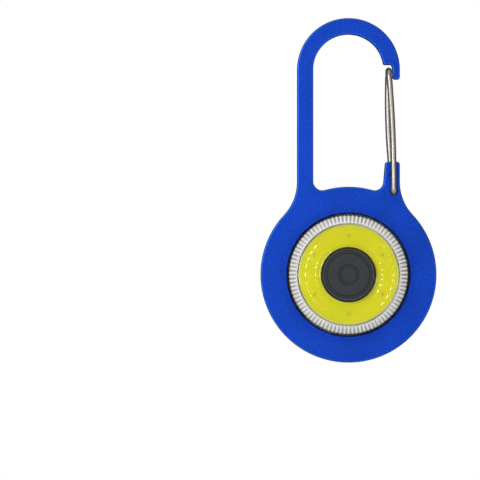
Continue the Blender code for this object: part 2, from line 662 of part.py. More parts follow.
def build_switch(stand, axis, materials):
    centre = (0.0, BODY_Y)
    base = box(
        "switch_base", (SWITCH_SIDE, SWITCH_SIDE, SWITCH_FRONT_Z - SWITCH_BACK_Z), stand,
        (*centre, (SWITCH_BACK_Z + SWITCH_FRONT_Z) / 2), materials["switch_black"],
    )
    boolean(base, cylinder(
        "cut_switch_well", SWITCH_WELL_RADIUS, DOME_FOOT_Z - SEAT_GAP, SWITCH_FRONT_Z + CUT_MARGIN,
        stand, centre, SMALL_STEPS, collection=CUTTERS,
    ))
    plate = box(
        "switch_plate", (SWITCH_SIDE, SWITCH_SIDE, SWITCH_PLATE), stand,
        (*centre, SWITCH_PLATE_FRONT_Z - SWITCH_PLATE / 2), materials["plated_steel"],
    )
    boolean(plate, cylinder(
        "cut_switch_plate", STEM_RADIUS + SEAT_GAP, SWITCH_FRONT_Z - CUT_MARGIN,
        SWITCH_PLATE_FRONT_Z + CUT_MARGIN, stand, centre, SMALL_STEPS, collection=CUTTERS,
    ))
    flange_radius = SWITCH_WELL_RADIUS - SEAT_GAP
    stem_profile = [
        (0.0, STEM_TOP_Z),
        (STEM_RADIUS, STEM_TOP_Z),
        (STEM_RADIUS, STEM_FOOT_Z + STEM_FLANGE),
        (flange_radius, STEM_FOOT_Z + STEM_FLANGE),
        (flange_radius, STEM_FOOT_Z),
        (0.0, STEM_FOOT_Z),
    ]
    turned("switch_stem", stem_profile, axis, materials["switch_black"], steps=SMALL_STEPS, ring=False)
    build_dome(stand, materials["spring_steel"])


def build_dome(stand, steel):
    """The snap dome under the stem: a shallow domed disc of sheet."""
    rim = SWITCH_WELL_RADIUS - 2 * SEAT_GAP
    shares = [i / 4 for i in range(5)]
    inner = [(rim * s, DOME_FOOT_Z + DOME_RISE * (1 - s * s)) for s in shares]
    outer = [(radius, z + DOME_THICKNESS) for radius, z in inner]
    turned("switch_dome", outer + inner[::-1], stand, steel, (0.0, BODY_Y), SMALL_STEPS, ring=False)


# --- Main board and cells ---------------------------------------------------------------------------
def build_main_board(stand, materials):
    """The main board with the driver chip and its small parts on the rear, outside the cells."""
    centre = (0.0, BODY_Y)
    cylinder(
        "main_board", MAIN_BOARD_RADIUS, MAIN_BOARD_BACK_Z, MAIN_BOARD_FRONT_Z, stand, centre,
        MEDIUM_STEPS, materials["board_green"],
    )
    for name, size, angle, finish in COMPONENTS:
        x, y = polar(COMPONENT_CIRCLE_RADIUS, angle, centre)
        z = MAIN_BOARD_BACK_Z - SEAT_GAP - size[2] / 2
        part = box(name, size, stand, (x, y, z), materials[finish])
        part.rotation_euler.z = math.radians(angle + 90)


def build_cell(number, top_z, stand, steel):
    """A coin cell: the smaller negative cap faces the main board, the can's flat side the cover."""
    shoulder = CELL_STEP
    bottom = top_z - CELL_HEIGHT
    profile = [
        (0.0, top_z),
        (CELL_CAP_RADIUS, top_z),
        (CELL_CAP_RADIUS, top_z - shoulder),
        (CELL_RADIUS - shoulder, top_z - shoulder),
        (CELL_RADIUS, top_z - 2 * shoulder),
        (CELL_RADIUS, bottom + shoulder),
        (CELL_RADIUS - shoulder, bottom),
        (0.0, bottom),
    ]
    turned(f"coin_cell_{number}", profile, stand, steel, (0.0, BODY_Y), MEDIUM_STEPS, ring=False)


def build_cells(stand, materials):
    build_cell(1, CELL_1_TOP_Z, stand, materials["cell_steel"])
    build_cell(2, CELL_2_TOP_Z, stand, materials["cell_steel"])
    holder = turned(
        "cell_holder",
        ring_profile(HOLDER_INNER_RADIUS, HOLDER_OUTER_RADIUS, CELLS_BACK_Z, MAIN_BOARD_BACK_Z - SEAT_GAP),
        stand, materials["carrier_white"], (0.0, BODY_Y), MEDIUM_STEPS,
    )
    slot_height = 2 * (MAIN_BOARD_BACK_Z - CELLS_BACK_Z)
    slot = (CUT_MARGIN + 2 * HOLDER_WALL, CONTACT_WIDTH + 2 * SLIDE_GAP, slot_height)
    middle = (HOLDER_INNER_RADIUS + HOLDER_OUTER_RADIUS) / 2
    boolean(holder, box("cut_holder_slot", slot, stand, (middle, BODY_Y, CELLS_BACK_Z), collection=CUTTERS))
    cylinder(
        "insulation_pad", PAD_RADIUS, PAD_BACK_Z, PAD_FRONT_Z, stand, (0.0, BODY_Y), MEDIUM_STEPS,
        materials["foam_grey"],
    )


def upright_strip(name, outline, stand, material):
    """A bent strip: its outline is in (x, z), and its width runs along Y, centred on the body."""
    strip = meshed(flat_curve(f"{name}_curve", outline, CONTACT_WIDTH), name)
    strip.data.transform(Matrix.Rotation(math.pi / 2, 4, "X"))
    return place(strip, stand, (0.0, BODY_Y, 0.0), material)


def build_contacts(stand, brass):
    """The leaf under the cells, and the clip that reaches round them to their rear face."""
    foot_z = MAIN_BOARD_BACK_Z - SEAT_GAP
    half_leaf = CELL_CAP_RADIUS / 2
    shares = [i / 8 for i in range(9)]
    crest = [(half_leaf * (2 * s - 1), foot_z - LEAF_RISE * math.sin(math.pi * s)) for s in shares]
    crest = [(x, z + CONTACT_THICKNESS * math.sin(math.pi * s)) for s, (x, z) in zip(shares, crest)]
    lower = [(x, z - CONTACT_THICKNESS) for x, z in reversed(crest)]
    upright_strip("negative_contact", crest + lower, stand, brass)

    inside = HOLDER_INNER_RADIUS
    outside = inside + CONTACT_THICKNESS
    foot_end = HOLDER_OUTER_RADIUS + HOLDER_WALL
    reach = CELL_RADIUS / 2
    clip = [
        (inside, foot_z),
        (foot_end, foot_z),
        (foot_end, foot_z - CONTACT_THICKNESS),
        (outside, foot_z - CONTACT_THICKNESS),
        (outside, ARM_BACK_Z),
        (reach, ARM_BACK_Z),
        (reach, ARM_FRONT_Z),
        (inside, ARM_FRONT_Z),
    ]
    upright_strip("positive_contact", clip, stand, brass)


# --- Rear cover and screws --------------------------------------------------------------------------
def build_cover(stand, black):
    """A shallow cup with three bosses; the screw heads sit below its flat rear face."""
    inner = COVER_RADIUS - COVER_WALL
    edge = [
        (COVER_RADIUS - COVER_EDGE * (1 - math.cos(a)), COVER_BACK_Z + COVER_EDGE * (1 - math.sin(a)))
        for a in (math.radians(22.5 * i) for i in range(5))
    ]
    profile = [
        (0.0, COVER_INNER_Z),
        (inner, COVER_INNER_Z),
        (inner, COVER_FRONT_Z),
        (COVER_RADIUS, COVER_FRONT_Z),
        *edge,
        (0.0, COVER_BACK_Z),
    ]
    cup = turned("back_cover", profile, stand, black, (0.0, BODY_Y), ring=False)
    for number, place_xy in enumerate(screw_places(), 1):
        boss = cylinder(
            f"join_boss_{number}", SCREW_BOSS_RADIUS, COVER_INNER_Z - COVER_FLOOR / 2, COVER_FRONT_Z,
            stand, place_xy, MEDIUM_STEPS // 2, collection=CUTTERS,
        )
        boolean(cup, boss, "UNION", "MANIFOLD")
    for number, place_xy in enumerate(screw_places(), 1):
        low = COVER_BACK_Z - CUT_MARGIN
        shank = cylinder(
            f"cut_shank_{number}", SCREW_HOLE_RADIUS, low, COVER_FRONT_Z + CUT_MARGIN, stand, place_xy,
            SMALL_STEPS, collection=CUTTERS,
        )
        seat = cylinder(
            f"cut_seat_{number}", SCREW_SEAT_RADIUS, low, SCREW_SEAT_Z, stand, place_xy,
            MEDIUM_STEPS // 2, collection=CUTTERS,
        )
        boolean(cup, shank)
        boolean(cup, seat)


def screw_mesh(steel):
    """One screw, head up, its seat at z = 0, with a cross recess."""
    length = SCREW_TIP_Z - SCREW_SEAT_Z - SEAT_GAP
    head = SCREW_HEAD_RADIUS
    tip = 0.4 * SCREW_RADIUS
    profile = [
        (0.0, SCREW_HEAD_HEIGHT),
        (0.6 * head, 0.96 * SCREW_HEAD_HEIGHT),
        (0.88 * head, 0.75 * SCREW_HEAD_HEIGHT),
        (head, 0.45 * SCREW_HEAD_HEIGHT),
        (head, 0.0),
        (SCREW_RADIUS, 0.0),
        (SCREW_RADIUS, tip - length),
        (SCREW_RADIUS - tip, -length),
        (0.0, -length),
    ]
    screw = turned("screw_pattern", profile, None, steel, steps=SMALL_STEPS, ring=False)
    top = (0.0, 0.0, SCREW_HEAD_HEIGHT)
    for number, size in enumerate(((SLOT_LENGTH, SLOT_WIDTH), (SLOT_WIDTH, SLOT_LENGTH)), 1):
        cutter = box(f"cut_recess_{number}", (*size, 2 * SLOT_DEPTH), None, top, collection=CUTTERS)
        boolean(screw, cutter)
    bpy.context.view_layer.update()
    mesh = bpy.data.meshes.new_from_object(screw.evaluated_get(bpy.context.evaluated_depsgraph_get()))
    mesh.name = "cover_screw"
    bpy.data.objects.remove(screw)
    return mesh


def build_screws(stand, steel):
    mesh = screw_mesh(steel)
    for number, (x, y) in enumerate(screw_places(), 1):
        screw = bpy.data.objects.new(f"cover_screw_{number}", mesh)
        place(screw, stand, (x, y, SCREW_SEAT_Z - SEAT_GAP))
        screw.rotation_euler = (math.pi, 0.0, math.radians(SCREW_TURN_DEG * number))


# --- Assembly ---------------------------------------------------------------------------------------
def all_materials():
    return {
        "blue": new_material("anodised_blue", (0.01, 0.07, 0.55), 0.35, 0.9),
        "spring_steel": new_material("spring_steel", (0.55, 0.52, 0.46), 0.3, 1.0),
        "plated_steel": new_material("plated_steel", (0.5, 0.5, 0.5), 0.25, 1.0),
        "clear": new_material("clear_plastic", (0.9, 0.9, 0.9), 0.05),
        "gasket": new_material("gasket_rubber", (0.01, 0.01, 0.01), 0.6),
        "board_white": new_material("led_board_white", (0.85, 0.85, 0.83), 0.5),
        "dam_white": new_material("silicone_dam", (0.85, 0.85, 0.8), 0.4),
        "phosphor": new_material("phosphor_gel", (0.68, 0.66, 0.02), 0.3),
        "die": new_material("led_die", (0.5, 0.45, 0.1), 0.4),
        "button_grey": new_material("button_rubber", (0.045, 0.048, 0.054), 0.6),
        "switch_black": new_material("switch_plastic", (0.02, 0.02, 0.02), 0.5),
        "carrier_white": new_material("carrier_plastic", (0.8, 0.8, 0.78), 0.5),
        "board_green": new_material("main_board_green", (0.02, 0.15, 0.05), 0.4),
        "component_black": new_material("component_black", (0.015, 0.015, 0.015), 0.5),
        "component_tan": new_material("component_tan", (0.45, 0.3, 0.15), 0.5),
        "brass": new_material("contact_brass", (0.7, 0.5, 0.2), 0.3, 1.0),
        "cell_steel": new_material("cell_steel", (0.6, 0.6, 0.6), 0.2, 1.0),
        "foam_grey": new_material("foam_grey", (0.15, 0.15, 0.15), 0.9),
        "lead_red": new_material("lead_red", (0.5, 0.02, 0.02), 0.5),
        "lead_black": new_material("lead_black", (0.02, 0.02, 0.02), 0.5),
        "cover_black": new_material("cover_black", (0.012, 0.012, 0.013), 0.45),
    }


def build_light():
    materials = all_materials()
    stand = new_empty("stand", None)
    stand.rotation_euler.x = math.pi / 2
    gate_pivot = new_empty("gate_pivot", stand, (PIVOT_X, PIVOT_Y, 0.0))
    button_axis = new_empty("button_axis", stand, (0.0, BODY_Y, 0.0))

    build_frame(stand, materials["blue"])
    wire("gate_wire", gate_route(), WIRE_RADIUS, gate_pivot, materials["spring_steel"])
    build_lens(stand, materials["clear"])
    gasket_front = LEDGE_Z - SEAT_GAP
    turned(
        "lens_gasket",
        ring_profile(FRAME_BORE_RADIUS, LENS_FLANGE_RADIUS, gasket_front - GASKET_THICKNESS, gasket_front),
        stand, materials["gasket"], (0.0, BODY_Y), MEDIUM_STEPS,
    )
    build_light_source(stand, materials)
    build_carrier(stand, materials["carrier_white"])
    build_leads(stand, materials["lead_red"], materials["lead_black"])
    build_button(button_axis, materials["button_grey"])
    build_switch(stand, button_axis, materials)
    build_main_board(stand, materials)
    build_cells(stand, materials)
    build_contacts(stand, materials["brass"])
    build_cover(stand, materials["cover_black"])
    build_screws(stand, materials["plated_steel"])
    for obj in PARTS.objects:
        if obj.type == "MESH":
            obj.data.shade_smooth()
            obj.data.set_sharp_from_angle(angle=math.radians(30))


clear_scene()
PARTS = new_collection("keychain_flashlight")
CUTTERS = new_collection("cutters")
CUTTERS.hide_render = True
build_light()
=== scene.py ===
"""Looks of a keychain flashlight: a flat anodised hook frame that carries a ring-shaped lamp.

Shapes are worked out on the bench, in millimetres: X to the right, Y up the hook and Z out of the lamp's
face, with the origin at the inner top of the hook. Stood upright, a bench point (x, y, z) becomes
(x, -z, y) in metres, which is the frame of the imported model.
"""

import logging  # noqa: E402
import math  # noqa: E402
from dataclasses import dataclass, field  # noqa: E402
from enum import Enum  # noqa: E402

import bmesh  # noqa: E402
import bpy  # noqa: E402
import numpy as np  # noqa: E402
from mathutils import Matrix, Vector, geometry  # noqa: E402


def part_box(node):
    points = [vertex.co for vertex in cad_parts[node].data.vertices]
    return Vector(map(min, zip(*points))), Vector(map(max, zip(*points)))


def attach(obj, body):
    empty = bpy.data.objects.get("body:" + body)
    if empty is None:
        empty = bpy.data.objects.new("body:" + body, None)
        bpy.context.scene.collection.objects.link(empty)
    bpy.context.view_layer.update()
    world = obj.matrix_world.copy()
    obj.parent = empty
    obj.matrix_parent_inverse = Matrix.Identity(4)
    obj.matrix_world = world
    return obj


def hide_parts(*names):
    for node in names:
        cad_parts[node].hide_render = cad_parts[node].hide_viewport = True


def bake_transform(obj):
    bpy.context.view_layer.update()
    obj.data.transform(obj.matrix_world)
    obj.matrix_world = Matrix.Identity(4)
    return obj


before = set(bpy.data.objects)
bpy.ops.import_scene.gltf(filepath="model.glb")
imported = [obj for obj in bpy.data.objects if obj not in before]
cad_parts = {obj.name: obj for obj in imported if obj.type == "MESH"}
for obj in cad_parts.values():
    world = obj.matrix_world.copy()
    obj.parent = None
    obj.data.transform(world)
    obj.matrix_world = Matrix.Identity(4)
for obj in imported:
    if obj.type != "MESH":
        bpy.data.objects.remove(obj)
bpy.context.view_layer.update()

LOG = logging.getLogger("keychain_flashlight")
MM = 0.001
WELD = 1e-7
REPEAT = 1e-4
Colour = tuple[float, float, float]
Piece, Material = bpy.types.Object, bpy.types.Material
Node, NodeTree, Socket = bpy.types.Node, bpy.types.NodeTree, bpy.types.NodeSocket
Dress = tuple[Socket, Socket, Socket | None]
DUST: Colour = (0.45, 0.44, 0.42)


# --- Bench geometry ---------------------------------------------------------------------------------
def bench_box(node: str) -> tuple[np.ndarray, np.ndarray]:
    """Gives a CAD node's box on the bench.

    Args:
        node: name of the CAD node.

    Returns:
        Its lowest and its highest corner, in bench millimetres.
    """
    low, high = (np.array(corner, float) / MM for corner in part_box(node))
    return np.array([low[0], low[2], -high[1]]), np.array([high[0], high[2], -low[1]])


def bench_centre(node: str) -> np.ndarray:
    """The middle of a CAD node's box, as (x, y) in bench millimetres."""
    low, high = bench_box(node)
    return ((low + high) / 2)[:2]


def unit(vectors: np.ndarray) -> np.ndarray:
    """Vectors divided by their lengths, along the last axis."""
    return vectors / np.linalg.norm(vectors, axis=-1, keepdims=True)


def arc(centre: tuple[float, float], radius: float, start: float, end: float, steps: int) -> np.ndarray:
    """Points on an arc: centre + radius * (cos a, sin a), with a running evenly from start to end.

    Args:
        centre: middle of the arc.
        radius: its radius.
        start: first angle, in degrees.
        end: last angle, in degrees.
        steps: number of equal steps between them.

    Returns:
        An array of steps + 1 rows of (x, y).
    """
    angles = np.radians(np.linspace(start, end, steps + 1))
    return np.column_stack([centre[0] + radius * np.cos(angles), centre[1] + radius * np.sin(angles)])


def full_turn(steps: int) -> np.ndarray:
    """That many angles, evenly round a full turn, in radians."""
    return np.linspace(0.0, 2 * math.pi, steps, endpoint=False)


def circle(centre: np.ndarray, radius: float, steps: int) -> np.ndarray:
    """A closed circle of that many points, without repeating the first."""
    return arc((centre[0], centre[1]), radius, 0.0, 360.0, steps)[:-1]


def rounded_corner(
    before: np.ndarray, corner: np.ndarray, after: np.ndarray, radius: float, steps: int = 6
) -> np.ndarray:
    """Rounds a corner with the arc that touches both of its straight sides, in the plane or in space.

    The arc's two ends, seen from its centre, are p and q, a turn s apart. The point at share t is
    (sin((1 - t) s) p + sin(t s) q) / sin s.

    Args:
        before: a point on the side that leads into the corner.
        corner: the corner itself.
        after: a point on the side that leads out of it.
        radius: radius of the arc.
        steps: number of steps round the arc.

    Returns:
        The points of the arc, in order.
    """
    corner = np.asarray(corner, float)
    inward = unit(np.asarray(before, float) - corner)
    outward = unit(np.asarray(after, float) - corner)
    half = math.acos(float(np.clip(inward @ outward, -1.0, 1.0))) / 2
    centre = corner + unit(inward + outward) * radius / math.sin(half)
    first = corner + inward * radius / math.tan(half) - centre
    last = corner + outward * radius / math.tan(half) - centre
    turn = math.pi - 2 * half
    share = np.linspace(0.0, 1.0, steps + 1)[:, None]
    return centre + (np.sin((1 - share) * turn) * first + np.sin(share * turn) * last) / math.sin(turn)


def softened(corners: list[tuple[float, float, float]], steps: int = 5) -> np.ndarray:
    """A turned piece's profile with its corners rounded.

    Args:
        corners: (radius, z, rounding) for each corner; a rounding of 0 keeps it sharp.
        steps: number of steps round each rounding.

    Returns:
        The profile as rows of (radius, z).
    """
    points = np.array([corner[:2] for corner in corners], float)
    pieces = []
    for i, (_, _, rounding) in enumerate(corners):
        if rounding and 0 < i < len(corners) - 1:
            pieces.append(rounded_corner(points[i - 1], points[i], points[i + 1], rounding, steps))
        else:
            pieces.append(points[i : i + 1])
    return np.vstack(pieces)


def turned(profile: np.ndarray, centre: np.ndarray, steps: int) -> np.ndarray:
    """Carries a profile round an axis: the point is (cx + r cos a, cy + r sin a, z).

    Args:
        profile: rows of (radius, z).
        centre: the axis, as (x, y).
        steps: number of points round it.

    Returns:
        A grid of points, one row per profile point and one column per angle.
    """
    angles = full_turn(steps)
    radius, height = profile[:, :1], profile[:, 1:2]
    x, y = centre[0] + radius * np.cos(angles), centre[1] + radius * np.sin(angles)
    return np.stack(np.broadcast_arrays(x, y, height), axis=-1)


def inset(outline: np.ndarray, depth: float) -> np.ndarray:
    """Moves a closed anticlockwise outline inwards by a depth.

    Each corner moves along the sum of its two sides' inward normals, divided by one plus their dot
    product, which keeps every side at the same depth.

    Args:
        outline: rows of (x, y).
        depth: how far in to move it.

    Returns:
        The moved outline.
    """
    side = unit(np.roll(outline, -1, axis=0) - outline)
    normal = np.column_stack([-side[:, 1], side[:, 0]])
    before = np.roll(normal, 1, axis=0)
    mitre = (normal + before) / (1 + np.sum(normal * before, axis=1, keepdims=True))
    return outline + depth * mitre


def without_repeats(outline: np.ndarray) -> np.ndarray:
    """The closed outline without points that lie on the one before."""
    gaps = np.linalg.norm(outline - np.roll(outline, 1, axis=0), axis=1)
    return outline[gaps > REPEAT]


def swept(path: np.ndarray, radii: np.ndarray, steps: int) -> tuple[np.ndarray, np.ndarray]:
    """Carries a circle along a path in space.

    Across the path stands n, the part of the X axis at right angles to the tangent t, and t x n. The
    point is path + radius (cos a n + sin a (t x n)).

    Args:
        path: rows of (x, y, z).
        radii: the circle's radius at each row.
        steps: number of points round it.

    Returns:
        The grid of points, and for each the place (cos a, sin a, length so far) that a drawn grain follows.
    """
    tangent = unit(np.gradient(path, axis=0))
    across = unit(np.array([1.0, 0.0, 0.0]) - tangent[:, :1] * tangent)
    third = np.cross(tangent, across)
    angles = full_turn(steps)[:, None]
    rim = np.cos(angles) * across[:, None] + np.sin(angles) * third[:, None]
    points = path[:, None] + radii[:, None, None] * rim
    length = np.concatenate([[0.0], np.cumsum(np.linalg.norm(np.diff(path, axis=0), axis=1))])
    turn = angles[:, 0]
    return points, np.stack(np.broadcast_arrays(np.cos(turn), np.sin(turn), length[:, None]), axis=-1)


def smooth(values: np.ndarray, low: float, high: float) -> np.ndarray:
    """A soft step: with s = (value - low) / (high - low) kept within 0 and 1, it is 3 s^2 - 2 s^3."""
    share = np.clip((values - low) / (high - low), 0.0, 1.0)
    return share * share * (3 - 2 * share)


class Shell:
    """Gathers the patches of one piece, in bench millimetres, and makes them one closed mesh."""

    def __init__(self) -> None:
        """Starts with no patch."""
        self.points: list[np.ndarray] = []
        self.faces: list[list[int]] = []
        self.masks: list[dict[str, np.ndarray]] = []
        self.count = 0

    def _keep(self, points: np.ndarray, faces: np.ndarray, masks: dict[str, np.ndarray]) -> None:
        """Adds one patch.

        Args:
            points: rows of (x, y, z).
            faces: rows of numbers of its own points.
            masks: for each mask, a value per point.
        """
        self.points.append(points)
        self.faces.extend((faces + self.count).tolist())
        self.masks.append(masks)
        self.count += len(points)

    def grid(self, points: np.ndarray, **masks: np.ndarray | float) -> "Shell":
        """Adds a grid of quads, whose last column joins the first.

        Args:
            points: rows by columns by (x, y, z).
            **masks: values as rows by columns, one a row, one for all, or rows by columns by (x, y, z).

        Returns:
            The shell itself.
        """
        rows, columns = points.shape[:2]
        i, j = np.meshgrid(np.arange(rows - 1), np.arange(columns), indexing="ij")
        here, after = i * columns + j, i * columns + (j + 1) % columns
        quads = np.stack([here, after, after + columns, here + columns], axis=-1)
        size = (rows, columns)
        spread = {
            name: mask.reshape(-1, 3) if np.ndim(mask) == 3 else np.broadcast_to(mask, size).ravel()
            for name, mask in masks.items()
        }
        self._keep(points.reshape(-1, 3), quads.reshape(-1, 4), spread)
        return self

    def flat(self, loops: list[np.ndarray], z: float) -> None:
        """Adds a flat face at height z, bounded by the first loop and pierced by the others.

        The face is the constrained Delaunay triangulation of all the loops. A triangle is kept where a ray
        from its middle crosses the loops an odd number of times.

        Args:
            loops: the closed outlines, each as rows of (x, y).
            z: the face's height.
        """
        starts = np.cumsum([0] + [len(loop) for loop in loops])
        numbers = [start + np.arange(len(loop)) for start, loop in zip(starts, loops)]
        sides = np.vstack([np.column_stack([own, np.roll(own, -1)]) for own in numbers])
        corners = np.vstack(loops)
        vectors = [Vector(point) for point in corners]
        found, _, faces, *_ = geometry.delaunay_2d_cdt(vectors, sides.tolist(), [], 1, WELD)
        points, faces = np.array(found), np.array(faces)
        middle = points[faces].mean(axis=1)[:, None]
        low, high = corners[sides[:, 0]], corners[sides[:, 1]]
        spans = (low[:, 1] > middle[..., 1]) != (high[:, 1] > middle[..., 1])
        run, climb = (high - low).T
        slope = run / np.where(climb == 0, 1.0, climb)
        crossed = spans & (middle[..., 0] < low[:, 0] + slope * (middle[..., 1] - low[:, 1]))
        kept = faces[crossed.sum(axis=1) % 2 == 1]
        self._keep(np.column_stack([points, np.full(len(points), z)]), kept, {})

    def make(self, name: str, crease: float = 32.0) -> Piece:
        """Welds the patches into one mesh object, standing upright in metres.

        Args:
            name: the piece's name.
            crease: edges that turn by more than this many degrees stay sharp.

        Returns:
            The object, linked to the scene.
        """
        x, y, z = np.vstack(self.points).T * MM
        mesh = bpy.data.meshes.new(name)
        mesh.from_pydata(np.column_stack([x, -z, y]).tolist(), [], self.faces)
        for mask in sorted({key for masks in self.masks for key in masks}):
            parts = [masks.get(mask, np.zeros(len(points))) for masks, points in zip(self.masks, self.points)]
            vector = parts[0].ndim == 2
            layer = mesh.attributes.new(mask, "FLOAT_VECTOR" if vector else "FLOAT", "POINT")
            layer.data.foreach_set("vector" if vector else "value", np.concatenate(parts).ravel())
        work = bmesh.new()
        work.from_mesh(mesh)
        bmesh.ops.remove_doubles(work, verts=work.verts, dist=WELD)
        bmesh.ops.recalc_face_normals(work, faces=work.faces)
        work.to_mesh(mesh)
        work.free()
        mesh.polygons.foreach_set("use_smooth", np.ones(len(mesh.polygons), bool))
        mesh.set_sharp_from_angle(angle=math.radians(crease))
        piece = bpy.data.objects.new(name, mesh)
        bpy.context.scene.collection.objects.link(piece)
        LOG.info("%s: %d points, %d faces", name, len(mesh.vertices), len(mesh.polygons))
        return piece


# --- Shader nodes -----------------------------------------------------------------------------------
class Sheet:
    """A node tree, with short ways to add its nodes and join them."""

    def __init__(self, tree: NodeTree) -> None:
        """Works on that node tree."""
        self.tree = tree

    def add(self, kind: str, feeds: dict | None = None, **settings: object) -> Node:
        """Adds a node.

        Args:
            kind: the node's type, without "ShaderNode".
            feeds: for each input, by name or number, a socket to link to it or a value to set on it.
            **settings: properties of the node.

        Returns:
            The node.
        """
        node = self.tree.nodes.new(kind if kind.startswith("Node") else "ShaderNode" + kind)
        for name, value in settings.items():
            setattr(node, name, value)
        for socket, value in (feeds or {}).items():
            self.feed(node, socket, value)
        return node

    def feed(self, node: Node, socket: str | int, value: object) -> None:
        """Links a socket to a node's input, or sets a plain value on it.

        Args:
            node: the node.
            socket: its input, by name or number.
            value: a socket or a plain value.
        """
        if isinstance(value, Socket):
            self.tree.links.new(value, node.inputs[socket])
        else:
            node.inputs[socket].default_value = value

    def maths(self, operation: str, *values: object, clamp: bool = False) -> Socket:
        """The result of one arithmetic operation on sockets or numbers."""
        return self.add("Math", dict(enumerate(values)), operation=operation, use_clamp=clamp).outputs[0]

    def mix(self, factor: object, first: object, second: object) -> Socket:
        """A colour between two colours, by a factor from 0 to 1."""
        feeds = {0: factor, 6: _rgba(first), 7: _rgba(second)}
        return self.add("Mix", feeds, data_type="RGBA").outputs[2]

    def window(self, value: object, low: float, high: float, start: float = 0.0, end: float = 1.0) -> Socket:
        """A soft step from start to end while the value goes from low to high."""
        feeds = {0: value, 1: low, 2: high, 3: start, 4: end}
        return self.add("MapRange", feeds, interpolation_type="SMOOTHSTEP").outputs[0]

    def noise(self, place: object, scale: object, detail: float = 2.0, roughness: float = 0.5) -> Socket:
        """Noise from 0 to 1 at a place in space."""
        feeds = {"Vector": place, "Scale": scale, "Detail": detail, "Roughness": roughness}
        return self.add("TexNoise", feeds).outputs[0]

    def place(self) -> Socket:
        """The place on the piece, in its own metres."""
        return self.add("TexCoord").outputs["Object"]

    def mask(self, name: str) -> Socket:
        """A piece's own mask, as one number per point."""
        return self.add("Attribute", attribute_name=name).outputs["Fac"]

    def use(self, group: NodeTree, **feeds: object) -> Node:
        """Places a shared effect.

        Args:
            group: the effect's node group.
            **feeds: its inputs' values.

        Returns:
            The group's node.
        """
        node = self.add("Group", node_tree=group)
        for name, value in feeds.items():
            self.feed(node, name, value)
        return node


def _rgba(colour: object) -> object:
    """A plain colour with its alpha of 1; a socket is passed on as it is."""
    return colour if isinstance(colour, Socket) else (*colour, 1.0)


